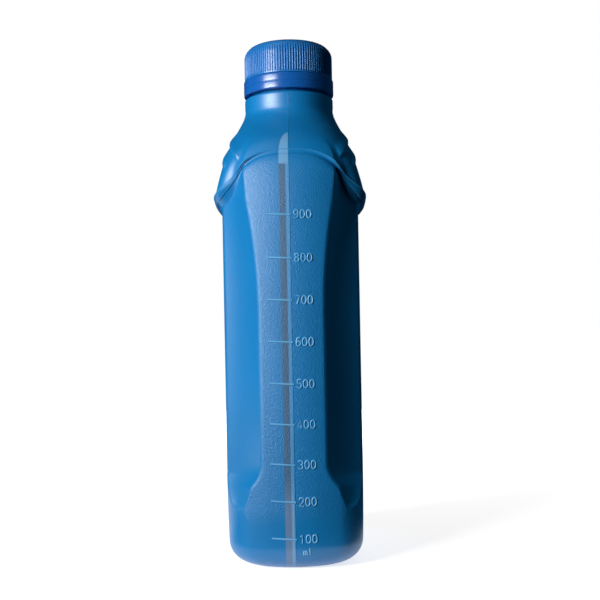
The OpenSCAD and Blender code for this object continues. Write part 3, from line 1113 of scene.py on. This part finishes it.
@dataclass
class BlownShell:
    """The blown bottle: outer face, neck finish and inner face as one closed skin."""

    finishes: Finishes
    tree: SweepTree
    column_split: int = 4
    lip_thin: float = 0.5
    lip_wide: float = 3.0
    lip_power: float = 1.5
    lip_low: float = 0.08
    lip_high: float = 0.45
    lip_drop: float = 0.4
    lip_soft: float = 0.4
    rim_r: float = 0.36
    rim_lift_share: float = 0.6
    rim_low_share: float = 0.6
    rim_fade: float = 0.35
    rim_drop: float = 0.35
    seam_r: float = 0.15
    seam_from_z: float = 0.3
    seam_collar: tuple[float, float] = (0.8, 1.2)
    grain_edge: tuple[float, float] = (-0.3, 0.1)
    grain_low: tuple[float, float] = (0.15, 0.45)
    grain_top: tuple[float, float] = (0.1, 0.4)
    edge_passes: int = 1
    edge_cols: float = 0.5
    edge_weight: float = 0.6
    collar_edge: float = 0.9
    collar_in: float = 0.05
    collar_steps: tuple[float, float, float] = (0.6, 1.4, 1.6)
    neck_fillet: tuple[float, float, float] = (0.5, 0.1, 0.3)
    bead_under: float = 0.3
    bead_edge: float = 0.1
    bead_flat: tuple[float, float] = (0.2, 0.8)
    bead_h: float = 2.4
    mouth_drop: float = 0.6
    mouth_edge: float = 0.5
    bore_edge: float = 0.3
    bore_past: float = 1.0
    bore_flare: float = 2.4
    inner_step: int = 5
    inner_margin: int = 3
    base_rows: int = 12
    edge_rows: int = 14
    low_rows: int = 46
    body_rows: int = 50
    ledge_rows: int = 22
    shoulder_rows: int = 76

    def columns(self) -> Points:
        """Columns of one quarter, from the scale face to the label face."""
        return np.linspace(0, FORM.quarter_cols, FORM.quarter_cols * self.column_split + 1)

    def schedule(self) -> list[tuple[Zone, float]]:
        """Plans the outer rows from the middle of the base up.

        Returns:
            The zone of each row and its share of the way along that zone.
        """
        plan = [(Zone.BASE, (i + 1) / self.base_rows) for i in range(self.base_rows)]
        for zone, count in ((Zone.EDGE, self.edge_rows), (Zone.LOW, self.low_rows),
                            (Zone.BODY, self.body_rows), (Zone.LEDGE, self.ledge_rows)):
            plan += [(zone, i / count) for i in range(count)]
        plan += [(Zone.SHOULDER, i / self.shoulder_rows) for i in range(self.shoulder_rows + 1)]
        return plan

    def all_round(self, quarter: Points) -> Points:
        """Mirrors a quarter's row to the full outline.

        Args:
            quarter: Points of [x, depth, z] from the scale face to the label face.

        Returns:
            Points of the whole row, anticlockwise from the scale face.
        """
        x, y, z = quarter[:, 0], quarter[:, 1], quarter[:, 2]
        parts = [np.stack([x, -y, z], -1)[:-1], np.stack([x, y, z], -1)[:0:-1],
                 np.stack([-x, y, z], -1)[:-1], np.stack([-x, -y, z], -1)[:0:-1]]
        return np.concatenate(parts)

    def outer(self) -> Points:
        """Outer rows up to the collar, with the raised rim and softened edges.

        Returns:
            Array of rows by columns by three.
        """
        k = self.columns()
        rows = np.array([self.all_round(FORM.row(zone, t, k)) for zone, t in self.schedule()])
        rows = self.raise_lip(rows, k)
        return self.soften_edges(rows)

    def raise_lip(self, rows: Points, k: Points) -> Points:
        """Raises the rim along the arched edge, a thin line at its middle and a flat ribbon on the wings.

        Args:
            rows: Outer rows of the shell.
            k: Columns of one quarter.

        Returns:
            The rows with the rim, held inside the width of the wings.
        """
        zero = np.zeros_like(k)
        edge_z = self.all_round(np.stack([zero, zero, FORM.edge_z(k)], -1))[:, 2]
        drop = self.all_round(np.stack([zero, zero, FORM.edge_drop(k)], -1))[:, 2]
        width = mix(self.lip_thin, self.lip_wide, drop**self.lip_power)
        height = mix(self.lip_low, self.lip_high, ease(drop / self.lip_drop))
        above = (rows[:, :, 2] - edge_z + width) / self.lip_soft + 0.5
        past = (rows[:, :, 2] - edge_z) / self.lip_soft - 0.5
        lift = height * (ease(above) - ease(past))
        flat = rows[:, :, :2]
        away = flat / np.maximum(np.linalg.norm(flat, axis=-1, keepdims=True), 1e-6)
        rows[:, :, :2] = flat + away * lift[:, :, None]
        reach = FORM.wing_w / 2
        rows[:, :, 0] = np.clip(rows[:, :, 0], -reach, reach)
        return rows

    def panel_marks(self, rows: int) -> Points:
        """Marks the points that lie on a grained scale panel.

        Args:
            rows: Number of rows in the whole skin.

        Returns:
            A share from 0 to 1 for each point, row by row.
        """
        k = self.columns()
        soft = 1 - self.rise(k - FORM.front_cols, self.grain_edge)
        marks = []
        for zone, t in self.schedule():
            on = {Zone.LOW: self.rise(t, self.grain_low), Zone.BODY: 1.0,
                  Zone.LEDGE: 1 - self.rise(t, self.grain_top)}.get(zone, 0.0)
            column = np.stack([k, k, on * soft], -1)
            marks.append(self.all_round(column)[:, 2])
        marks += [np.zeros_like(marks[0])] * (rows - len(marks))
        return np.array(marks)

    @staticmethod
    def rise(t: Points | float, span: tuple[float, float]) -> Points | float:
        """Smooth 0 to 1 as t goes through a span."""
        return ease((t - span[0]) / (span[1] - span[0]))

    def soften_edges(self, rows: Points) -> Points:
        """Rounds the edges of the flutes a little, as blowing does.

        Args:
            rows: Outer rows of the shell.

        Returns:
            The rows with the columns at those edges drawn towards their neighbours.
        """
        split = self.column_split
        quarter = FORM.quarter_cols * split
        across = rows.shape[1]
        index = np.arange(across) % (2 * quarter)
        k = np.minimum(index, 2 * quarter - index) / split
        side_edge = FORM.front_cols + FORM.corner_cols
        near = np.maximum(np.exp(-(((k - FORM.front_cols) / self.edge_cols) ** 2)),
                          np.exp(-(((k - side_edge) / self.edge_cols) ** 2)))
        weight = self.edge_weight * near[None, :, None]
        for _ in range(self.edge_passes):
            mid = (np.roll(rows, 1, axis=1) + np.roll(rows, -1, axis=1)) / 2
            rows = rows + weight * (mid - rows)
        return rows

    def neck_profile(self) -> list[tuple[float, float]]:
        """Profile of the collar, bead, mouth and bore.

        Returns:
            Points of (radius, height) from the collar's foot up and down inside.
        """
        band_z, bead_z, bead_r = CLOSURE.band_z, CLOSURE.bead_z, CLOSURE.bead_r
        foot, top, r = FORM.neck_z, FORM.collar_z, FORM.collar_r
        neck_r, mouth = FORM.finish_r, FORM.mouth_z
        foot_in, foot_out, under_edge = self.collar_steps
        steps = [(r - self.collar_in, foot + foot_in), (r, foot + foot_out), (r, mix(foot, top, 0.5)),
                 (r, top - under_edge)]
        steps += arc((r - self.collar_edge, top - self.collar_edge), self.collar_edge, 0, 90, 5)
        far, near, up = self.neck_fillet
        steps += [(neck_r + far, top), (neck_r + near, top + up), (neck_r, band_z)]
        flat_low, flat_high = self.bead_flat
        steps += [(neck_r, bead_z - self.bead_under), (bead_r - self.bead_edge, bead_z),
                  (bead_r, bead_z + flat_low), (bead_r, bead_z + flat_high),
                  (neck_r, bead_z + self.bead_h), (neck_r, mouth - self.mouth_drop)]
        steps += arc((neck_r - self.mouth_edge, mouth - self.mouth_edge), self.mouth_edge, 0, 90, 4)
        steps += arc((FORM.bore_r + self.bore_edge, mouth - self.bore_edge), self.bore_edge, 90, 180, 3)
        inner_r = r - FORM.wall
        steps += [(FORM.bore_r, top + self.bore_past), (inner_r, top - self.bore_flare), (inner_r, foot)]
        return steps

    def inner(self, outer: Points) -> Points:
        """Inner rows, one wall inside the outer ones.

        Args:
            outer: Outer rows of the shell.

        Returns:
            Fewer rows, from the collar down to the floor.
        """
        along = np.roll(outer, -1, axis=1) - np.roll(outer, 1, axis=1)
        up = np.empty_like(outer)
        up[1:-1] = outer[2:] - outer[:-2]
        up[0], up[-1] = outer[1] - outer[0], outer[-1] - outer[-2]
        normal = np.cross(along, up)
        normal /= np.linalg.norm(normal, axis=-1, keepdims=True)
        sunk = outer - FORM.wall * normal
        chosen = list(range(len(outer) - 1 - self.inner_margin, self.inner_margin - 1, -self.inner_step))
        return sunk[chosen]

    def build(self) -> bpy.types.Object:
        """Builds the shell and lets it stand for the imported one.

        Returns:
            The shell's object.
        """
        outer = self.outer()
        even = np.arange(outer.shape[1]) * math.tau / outer.shape[1] - math.pi / 2
        ring = np.stack([np.cos(even), np.sin(even)], -1)
        neck = np.array([np.concatenate([ring * r, np.full((len(ring), 1), z)], -1)
                         for r, z in self.neck_profile()])
        rows = np.concatenate([outer, neck, self.inner(outer)])
        marks = {ShellFinish.PANEL: self.panel_marks(len(rows))}
        piece = closed_rows("blown_shell", rows, self.finishes.shell, marks=marks)
        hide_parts("bottle")
        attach(piece, "body")
        return piece

    def seam_path(self, side: Side) -> list[tuple[float, float, float]]:
        """Mould seam over one narrow face.

        Args:
            side: Face that the seam runs over.

        Returns:
            Points from the base up to the collar.
        """
        k = np.zeros(1)
        path = []
        for zone, t in self.schedule():
            if zone is not Zone.BASE:
                _, depth, z = FORM.row(zone, t, k)[0]
                if z > self.seam_from_z:
                    path.append((0.0, side.value * float(depth), float(z)))
        past_foot, under_top = self.seam_collar
        path += [(0.0, side.value * FORM.collar_r, FORM.neck_z + past_foot),
                 (0.0, side.value * FORM.collar_r, FORM.collar_z - under_top)]
        return path

    def build_seams(self) -> bpy.types.Object:
        """Builds the raised mould seams over both narrow faces.

        Returns:
            One piece with both seams.
        """
        paths = [self.seam_path(side) for side in Side]
        piece = self.tree.sweep("mould_seams", paths, self.seam_r, self.finishes.seam)
        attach(piece, "body")
        return piece

    def rim_path(self, part: float) -> list[tuple[float, ...]]:
        """Line round the bottle along one edge of the rim.

        Args:
            part: 0 for the upper edge and 1 for the lower one.

        Returns:
            A closed line of (x, y, z, radius share).
        """
        k = self.columns()
        drop = FORM.edge_drop(k)
        width = part * mix(self.lip_thin, self.lip_wide, drop**self.lip_power)
        t = 1 - width / FORM.ledge_at(k)
        z = FORM.edge_z(k) - width
        flat = FORM.ledge_point(k, t)
        lift = self.rim_lift_share * mix(self.lip_low, self.lip_high, ease(drop / self.lip_drop))
        angle = FORM.top_angle(k)
        flat = flat + lift[..., None] * np.stack([sin_deg(angle), cos_deg(angle)], axis=-1)
        points = self.all_round(np.concatenate([flat, z[..., None]], axis=-1))
        fade = mix(self.rim_fade, 1.0, ease(drop / self.rim_drop)) * mix(1.0, self.rim_low_share, part)
        share = self.all_round(np.stack([fade, fade, fade], -1))[:, 2]
        reach = FORM.wing_w / 2 - self.rim_r
        points[:, 0] = np.clip(points[:, 0], -reach, reach)
        path = [(*map(float, point), float(s)) for point, s in zip(points, share, strict=True)]
        return path + path[:1]

    def build_rim(self) -> bpy.types.Object:
        """Builds the two fine beads that edge the rim under the shoulder.

        Returns:
            One piece with both beads.
        """
        # The beads take the paler rim finish, a painted highlight.
        piece = self.tree.sweep("rim_beads", [self.rim_path(0.0), self.rim_path(1.0)], self.rim_r,
                                self.finishes.rim)
        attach(piece, "body")
        return piece


@dataclass
class VolumeScale:
    """Raised ticks and figures of the scale on the narrow face."""

    # Paler finish of the ticks and figures, a painted highlight.
    finish: bpy.types.Material
    tree: SweepTree
    tick_z: tuple[float, ...] = (15.1, 32.1, 49.0, 67.3, 85.8, 104.9, 124.0, 143.2, 163.0)
    tick_w: float = 10.8
    tick_slope: float = 3.4
    tick_past: float = 0.5
    figure_h: float = 3.85
    figure_w: float = 1.95
    pitch: float = 2.9
    figure_x: float = 2.0
    figure_drop: float = 0.45
    figure_bead: float = 0.8
    unit_x: float = 1.6
    unit_drop: float = 7.2
    unit_share: float = 0.8
    step_ml: int = 100
    tick_steps: int = 8
    bead: float = 0.42

    GLYPHS = {
        "0": [[(0.5, 0), (0.15, 0.12), (0, 0.35), (0, 0.65), (0.15, 0.88), (0.5, 1), (0.85, 0.88),
               (1, 0.65), (1, 0.35), (0.85, 0.12), (0.5, 0)]],
        "1": [[(0.15, 0.75), (0.55, 1), (0.55, 0)]],
        "2": [[(0, 0.78), (0.15, 0.94), (0.5, 1), (0.85, 0.94), (1, 0.74), (0.9, 0.52), (0, 0), (1, 0)]],
        "3": [[(0, 0.84), (0.2, 0.97), (0.5, 1), (0.85, 0.93), (0.95, 0.75), (0.85, 0.57), (0.45, 0.52),
               (0.85, 0.46), (1, 0.27), (0.85, 0.06), (0.5, 0), (0.15, 0.05), (0, 0.2)]],
        "4": [[(0.75, 0), (0.75, 1), (0, 0.3), (1, 0.3)]],
        "5": [[(0.92, 1), (0.1, 1), (0.05, 0.56), (0.5, 0.62), (0.88, 0.53), (1, 0.32), (0.88, 0.08),
               (0.5, 0), (0.15, 0.04), (0, 0.18)]],
        "6": [[(0.85, 0.95), (0.5, 1), (0.15, 0.86), (0, 0.5), (0.03, 0.22), (0.2, 0.04), (0.5, 0),
               (0.85, 0.08), (1, 0.3), (0.88, 0.5), (0.5, 0.57), (0.15, 0.5), (0.02, 0.34)]],
        "7": [[(0, 1), (1, 1), (0.35, 0)]],
        "8": [[(0.5, 0.53), (0.15, 0.63), (0.05, 0.78), (0.2, 0.96), (0.5, 1), (0.8, 0.96), (0.95, 0.78),
               (0.85, 0.63), (0.5, 0.53), (0.12, 0.44), (0, 0.25), (0.15, 0.05), (0.5, 0), (0.85, 0.05),
               (1, 0.25), (0.88, 0.44), (0.5, 0.53)]],
        "9": [[(0.15, 0.05), (0.5, 0), (0.85, 0.14), (1, 0.5), (0.97, 0.78), (0.8, 0.96), (0.5, 1),
               (0.15, 0.92), (0, 0.7), (0.12, 0.5), (0.5, 0.43), (0.85, 0.5), (0.98, 0.66)]],
        "m": [[(0, 0), (0, 0.6)], [(0, 0.45), (0.2, 0.6), (0.42, 0.55), (0.5, 0.4), (0.5, 0)],
              [(0.5, 0.42), (0.7, 0.6), (0.92, 0.55), (1, 0.4), (1, 0)]],
        "l": [[(0.3, 1), (0.3, 0.12), (0.5, 0)]],
    }

    def on_face(self, x: float, z: float) -> tuple[float, float, float]:
        """Point of the scale face at x and z."""
        return (x, -float(FORM.face_depth(np.array(x), np.array(z))), z)

    def tick(self, z: float) -> list[tuple[float, float, float]]:
        """One tick of the scale.

        Args:
            z: Height of the tick at the seam.

        Returns:
            Points from its outer end to just past the seam.
        """
        slope = math.tan(math.radians(self.tick_slope))
        xs = [mix(-self.tick_w, self.tick_past, i / self.tick_steps) for i in range(self.tick_steps + 1)]
        return [self.on_face(x, z - slope * x) for x in xs]

    def word(self, text: str, left: float, low: float,
             height: float) -> list[list[tuple[float, float, float]]]:
        """Strokes of a short word on the face.

        Args:
            text: Characters of GLYPHS.
            left: Place of the left edge.
            low: Height of the foot of the characters.
            height: Height of a full character.

        Returns:
            One list of points for each stroke.
        """
        strokes = []
        scale = height / self.figure_h
        for n, sign in enumerate(text):
            start = left + n * self.pitch * scale
            width = self.figure_w * scale
            strokes += [[self.on_face(start + px * width, low + pz * height) for px, pz in stroke]
                        for stroke in self.GLYPHS[sign]]
        return strokes

    def build(self) -> list[bpy.types.Object]:
        """Builds the ticks and the figures.

        Returns:
            The piece of all the ticks and the piece of all the figures.
        """
        ticks = self.tree.sweep("scale_ticks", [self.tick(z) for z in self.tick_z], self.bead, self.finish)
        strokes = []
        for n, z in enumerate(self.tick_z):
            low = z - self.figure_drop * self.figure_h
            strokes += self.word(str(self.step_ml * (n + 1)), self.figure_x, low, self.figure_h)
        strokes += self.word("ml", self.figure_x + self.unit_x, self.tick_z[0] - self.unit_drop,
                             self.unit_share * self.figure_h)
        figures = self.tree.sweep("scale_figures", strokes, self.figure_bead * self.bead, self.finish)
        for piece in (ticks, figures):
            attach(piece, "body")
        return [ticks, figures]


@dataclass
class Closure:
    """The screw cap with its ribs and threads, and the tamper band left on the neck."""

    finishes: Finishes
    tree: SweepTree
    neck_thread_z: tuple[float, float] = (238.6, 246.4)
    thread_r: float = 0.75
    thread_sunk: float = 0.05
    thread_steps: int = 72
    thread_taper: float = 6.0
    thread_end: float = 0.15
    rib_r: float = 0.38
    rib_foot: float = 0.5
    rib_foot_in: float = 0.12
    rib_full: tuple[float, float] = (0.5, 1.0)
    rib_steps: int = 5
    rib_arc: tuple[float, float] = (6.0, 33.0)
    rib_foot_share: float = 0.2
    rib_end_share: float = 0.25
    rib_fade: float = 0.55
    pole_r: float = 0.4
    seat_edge: float = 0.3
    seat_drop: float = 0.5
    seat_slope: float = 2.5
    foot_inside: tuple[tuple[float, float], ...] = ((0.0, 0.9), (0.3, 0.05), (0.5, 0.0))
    foot_outside: tuple[tuple[float, float], ...] = ((0.35, 0.0), (0.08, 0.1), (0.0, 0.4))
    skirt_ends: tuple[float, float] = (1.0, 0.5)
    skirt_steps: int = 7
    edge_steps: int = 14
    crown: tuple[float, float] = (1.5, 8.0)
    hook_gap: float = 0.3
    hook_face: tuple[float, float] = (0.2, 1.2)
    hook_toe: float = 0.2
    band_foot: tuple[float, float] = (0.15, 0.6)
    band_top: tuple[float, float] = (0.25, 0.5)
    crease_share: float = 0.47
    crease: tuple[float, float] = (0.2, 0.35)
    band_soft: float = 0.35

    def cap_profile(self) -> list[tuple[float, float]]:
        """Closed profile of the cap.

        Returns:
            Points of (radius, height) from the middle of its roof inside to the top outside.
        """
        c, edge, pole = CLOSURE, self.seat_edge, self.pole_r
        seat_z = FORM.mouth_z - self.seat_drop
        steps = [(pole, c.roof_z), (c.seat_r - edge, c.roof_z), (c.seat_r, c.roof_z - edge)]
        steps += [(c.seat_r, seat_z), (c.bore_r, seat_z - self.seat_slope)]
        steps += [(c.bore_r + out, c.cap_z + up) for out, up in self.foot_inside]
        steps += [(c.skirt_r - back, c.cap_z + up) for back, up in self.foot_outside]
        low, high = c.cap_z + self.skirt_ends[0], c.top_z - c.edge_r - self.skirt_ends[1]
        steps += [(c.skirt_r, mix(low, high, i / self.skirt_steps)) for i in range(self.skirt_steps + 1)]
        steps += arc((c.skirt_r - c.edge_r, c.top_z - c.edge_r), c.edge_r, 0, 90, self.edge_steps)
        past_edge, mid_r = self.crown
        steps += [(c.skirt_r - c.edge_r - past_edge, c.top_z), (mid_r, c.top_z), (pole, c.top_z)]
        return steps

    def rib_path(self) -> list[tuple[float, ...]]:
        """One grip rib, up the skirt and fading over the edge of the cap.

        Returns:
            Points of (x, y, z, radius share).
        """
        c, count = CLOSURE, self.rib_steps
        low, high = c.cap_z + self.rib_foot, c.top_z - c.edge_r
        full, start = self.rib_full
        path = [(c.skirt_r - self.rib_foot_in, 0.0, low, self.rib_foot_share)]
        path += [(c.skirt_r, 0.0, low + full, 1.0)]
        path += [(c.skirt_r, 0.0, mix(low + start, high, i / count), 1.0) for i in range(count + 1)]
        for r, z in arc((c.skirt_r - c.edge_r, high), c.edge_r, *self.rib_arc, count):
            faded = (z - high) / (c.edge_r * self.rib_fade)
            path.append((r, 0.0, z, mix(1.0, self.rib_end_share, faded)))
        return path

    def helix(self, radius: float, low: float, high: float) -> list[tuple[float, ...]]:
        """Right-hand thread, tapered at both ends.

        Args:
            radius: Radius of the thread's middle.
            low: Height of its start.
            high: Height of its end.

        Returns:
            Points of (x, y, z, radius share).
        """
        turns = (high - low) / CLOSURE.lead
        steps = int(turns * self.thread_steps)
        ramp = turns * self.thread_taper
        path = []
        for i in range(steps + 1):
            s = i / steps
            a = s * turns * math.tau
            taper = float(min(ease(s * ramp), ease((1 - s) * ramp)))
            share = mix(self.thread_end, 1.0, taper)
            path.append((radius * math.cos(a), radius * math.sin(a), mix(low, high, s), share))
        return path

    def build(self) -> list[bpy.types.Object]:
        """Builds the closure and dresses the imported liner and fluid.

        Returns:
            The cap, its ribs and thread, the neck's thread and the band.
        """
        cap = turned("cap_shell", self.cap_profile(), self.finishes.cap)
        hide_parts("cap")
        ribs = self.tree.sweep("cap_ribs", [self.rib_path()], self.rib_r, self.finishes.cap,
                               copies=CLOSURE.rib_count)
        low, high = self.neck_thread_z
        half = CLOSURE.lead / 2
        inside = self.helix(CLOSURE.bore_r + self.thread_sunk, low - half, high - half)
        cap_thread = self.tree.sweep("cap_thread", [inside], self.thread_r, self.finishes.cap)
        for piece in (cap, ribs, cap_thread):
            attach(piece, "cap")
        outside = self.helix(FORM.finish_r - self.thread_sunk, low, high)
        neck_thread = self.tree.sweep("neck_thread", [outside], self.thread_r, self.finishes.shell)
        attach(neck_thread, "body")
        band = self.build_band()
        for node, finish in (("cap_liner", self.finishes.liner), ("fluid", self.finishes.fluid)):
            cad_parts[node].data.materials.clear()
            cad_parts[node].data.materials.append(finish)
        return [cap, ribs, cap_thread, neck_thread, band]

    def build_band(self) -> bpy.types.Object:
        """Builds the smooth tamper band, with its crease and its inner hook.

        Returns:
            The band's object.
        """
        c = CLOSURE
        inner_r = c.band_r - c.wall
        hook_z, hook_r = c.bead_z - c.clear - self.hook_gap, FORM.finish_r + 2 * c.clear
        mid_z, top = c.band_z + self.crease_share * c.band_h, c.band_z + c.band_h
        deep, half = self.crease
        face_top, face_foot = self.hook_face
        foot_in, foot_up = self.band_foot
        top_in, top_down = self.band_top
        corners = [(inner_r, top), (inner_r, hook_z), (hook_r, hook_z - face_top),
                   (hook_r, hook_z - face_foot), (inner_r - self.hook_toe, c.band_z),
                   (c.band_r - foot_in, c.band_z), (c.band_r, c.band_z + foot_up),
                   (c.band_r, mid_z - half), (c.band_r - deep, mid_z), (c.band_r, mid_z + half),
                   (c.band_r, top - top_down), (c.band_r - top_in, top)]
        piece = turned("band_ring", soften(corners, self.band_soft), self.finishes.band, ring=True)
        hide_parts("tamper_band")
        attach(piece, "body")
        return piece


@dataclass(frozen=True)
class Lamp:
    """One rectangular area lamp, in metres, with its share of the key lamp's power."""

    name: str
    place: Colour
    size: tuple[float, float]
    share: float
    glossy: bool

    def build(self, target: Colour, key_power: float) -> None:
        """Hangs the lamp.

        Args:
            target: Point that the lamp looks at.
            key_power: Power of the key lamp in watts.
        """
        data = bpy.data.lights.new(self.name, "AREA")
        data.shape = "RECTANGLE"
        data.size, data.size_y = self.size
        data.energy = key_power * self.share
        light = bpy.data.objects.new(self.name, data)
        light.location = self.place
        light.visible_glossy = self.glossy
        aim = Vector(target) - Vector(self.place)
        light.rotation_euler = aim.to_track_quat("-Z", "Y").to_euler()
        bpy.context.scene.collection.objects.link(light)


@dataclass
class Studio:
    """Camera, lamps, white floor and the dark flags that keep one side in shade."""

    LAMPS = (
        Lamp("key_left", (-0.58, -0.55, 0.34), (0.4, 0.22), 1.0, True),
        Lamp("side_right", (0.74, 0.3, 0.3), (0.3, 0.6), 0.12, False),
        Lamp("back", (0.15, 0.79, 0.3), (0.5, 0.6), 0.55, False),
    )

    distance: float = 0.5
    eye_z: float = 0.11045
    horizon_y: float = 330.0
    axis_x: float = 293.3
    lens_px: float = 990.0
    frame_px: float = 600.0
    azimuth: float = 0.8
    roll: float = 1.1
    fill: float = 0.05
    floor_lift: float = 0.72
    lift_reach: tuple[float, float] = (0.25, 0.7)
    wall_bearings: tuple[float, float] = (-24.0, 290.0)
    low_bearings: tuple[float, float] = (-80.0, 205.0)
    flag_r: float = 0.44
    flag_top: float = 0.8
    flag_gap_r: float = 0.065
    flag_foot: float = 0.003
    lid_hole_r: float = 0.02
    flag_colour: Colour = (0.004, 0.004, 0.005)
    floor_colour: Colour = (0.88, 0.88, 0.88)
    floor_rough: float = 0.9
    floor_half: float = 12.0
    sensor_mm: float = 36.0
    clip: tuple[float, float] = (0.01, 50.0)
    aim: Colour = (0.0, 0.0, 0.13)
    key_power: float = 7.4

    def aim_camera(self) -> None:
        """Sets the camera at the photograph's height, distance and tilt."""
        data = bpy.data.cameras.new("camera")
        data.sensor_width = self.sensor_mm
        data.lens = self.lens_px / self.frame_px * self.sensor_mm
        data.shift_y = (self.horizon_y - self.frame_px / 2) / self.frame_px
        data.clip_start, data.clip_end = self.clip
        camera = bpy.data.objects.new("camera", data)
        bpy.context.scene.collection.objects.link(camera)
        bearing = math.radians(self.azimuth)
        place = Vector((math.sin(bearing) * self.distance, -math.cos(bearing) * self.distance, self.eye_z))
        yaw = math.atan((self.axis_x - self.frame_px / 2) / self.lens_px)
        turn = Matrix.Rotation(bearing + yaw, 4, "Z") @ Matrix.Rotation(math.pi / 2, 4, "X")
        turn = turn @ Matrix.Rotation(-math.radians(self.roll), 4, "Z")
        camera.matrix_world = Matrix.Translation(place) @ turn
        bpy.context.scene.camera = camera

    def ribbon(self, name: str, first: list[Colour], second: list[Colour],
               material: bpy.types.Material) -> bpy.types.Object:
        """Adds a stage piece of flat faces between two rows of points.

        Args:
            name: Name of the piece.
            first: Points of one edge, in metres.
            second: Points of the other edge, as many as in first.
            material: Material of the piece.

        Returns:
            The new object.
        """
        count = len(first)
        mesh = bpy.data.meshes.new(name)
        mesh.from_pydata(first + second, [], [(i, i + 1, count + i + 1, count + i) for i in range(count - 1)])
        piece = place_mesh(name, mesh, material)
        return piece

    def camera_white(self, tree: bpy.types.NodeTree) -> bpy.types.NodeSocket:
        """Adds Light Path nodes that tell seen and mirrored rays from diffuse ones.

        Args:
            tree: Node tree of the world or a material.

        Returns:
            A socket that is 1 for camera, glossy and transmission rays.
        """
        path = tree.nodes.new("ShaderNodeLightPath")
        last = path.outputs["Is Camera Ray"]
        for name in ("Is Glossy Ray", "Is Transmission Ray"):
            add = tree.nodes.new("ShaderNodeMath")
            add.operation = "ADD"
            add.use_clamp = True
            tree.links.new(last, add.inputs[0])
            tree.links.new(path.outputs[name], add.inputs[1])
            last = add.outputs[0]
        return last

    def build_world(self) -> None:
        """White world as it is seen, which lights the bottle only with a weak fill."""
        world = bpy.data.worlds.new("studio")
        world.use_nodes = True
        bpy.context.scene.world = world
        tree = world.node_tree
        background = tree.nodes["Background"]
        background.inputs["Color"].default_value = (1, 1, 1, 1)
        strength = tree.nodes.new("ShaderNodeMapRange")
        strength.inputs["To Min"].default_value = self.fill
        strength.inputs["To Max"].default_value = 1.0
        tree.links.new(self.camera_white(tree), strength.inputs["Value"])
        tree.links.new(strength.outputs[0], background.inputs["Strength"])

    def build_floor(self) -> None:
        """White floor that keeps the bottle's shadow near it and has no visible edge further off."""
        shade = Shader("studio_floor")
        shade.principled.inputs["Base Color"].default_value = (*self.floor_colour, 1)
        shade.principled.inputs["Roughness"].default_value = self.floor_rough
        shade.principled.inputs["Specular IOR Level"].default_value = 0.0
        shade.principled.inputs["Emission Color"].default_value = (1, 1, 1, 1)
        x, y, _ = shade.xyz()
        squares = [shade.math("MULTIPLY", c, c) for c in (x, y)]
        away = shade.math("SQRT", shade.math("ADD", *squares))
        rise = shade.math("MULTIPLY", shade.step(away, *self.lift_reach), 1.0 - self.floor_lift)
        lift = shade.math("MULTIPLY", self.camera_white(shade.tree), shade.math("ADD", rise, self.floor_lift))
        shade.feed(shade.principled.inputs["Emission Strength"], lift)
        r = self.floor_half
        self.ribbon("studio_floor_sheet", [(-r, -r, 0.0), (r, -r, 0.0)], [(-r, r, 0.0), (r, r, 0.0)],
                    shade.material)

    def ring(self, bearings: tuple[float, float], radius: float, z: float, steps: int = 18) -> list[Colour]:
        """Points of an arc round Z.

        Args:
            bearings: First and last bearing in degrees, with 0 at the scale face.
            radius: Radius in metres.
            z: Height in metres.
            steps: Pieces of the arc.

        Returns:
            The points in order.
        """
        turns = [math.radians(mix(*bearings, i / steps)) for i in range(steps + 1)]
        return [(radius * math.sin(b), -radius * math.cos(b), z) for b in turns]

    def build_flags(self) -> None:
        """Dark flags that the camera doesn't see: a wall with a gap at the left, a lid and a low sheet."""
        shade = Shader("dark_flag")
        shade.principled.inputs["Base Color"].default_value = (*self.flag_colour, 1)
        shade.principled.inputs["Roughness"].default_value = 1.0
        shade.principled.inputs["Specular IOR Level"].default_value = 0.0
        far, low, top = self.flag_r, self.flag_foot, self.flag_top
        sheets = {"flag_wall": (self.wall_bearings, (far, low), (far, top)),
                  "flag_lid": (self.wall_bearings, (self.lid_hole_r, top), (far, top)),
                  "flag_low": (self.low_bearings, (self.flag_gap_r, low), (far, low))}
        for name, (bearings, inner, outer) in sheets.items():
            first, second = self.ring(bearings, *inner), self.ring(bearings, *outer)
            piece = self.ribbon(name, first, second, shade.material)
            piece.visible_camera = False
            piece.visible_shadow = False

    def build(self) -> None:
        """Builds the whole studio."""
        self.aim_camera()
        self.build_world()
        self.build_floor()
        self.build_flags()
        for lamp in self.LAMPS:
            lamp.build(self.aim, self.key_power)
        bpy.context.scene.view_settings.view_transform = "Standard"


def main() -> None:
    """Builds the bottle and its studio in order and logs each piece."""
    logging.basicConfig(level=logging.INFO, format="%(name)s: %(message)s")
    Studio().build()
    finishes = Finishes()
    tree = SweepTree("bead_sweep")
    shell = BlownShell(finishes, tree)
    pieces = [shell.build(), shell.build_seams(), shell.build_rim()]
    pieces += VolumeScale(finishes.raised, tree).build()
    pieces += Closure(finishes, tree).build()
    for piece in pieces:
        LOG.info("%s: %d faces", piece.name, len(piece.data.polygons))


if __name__ == "__main__":
    main()
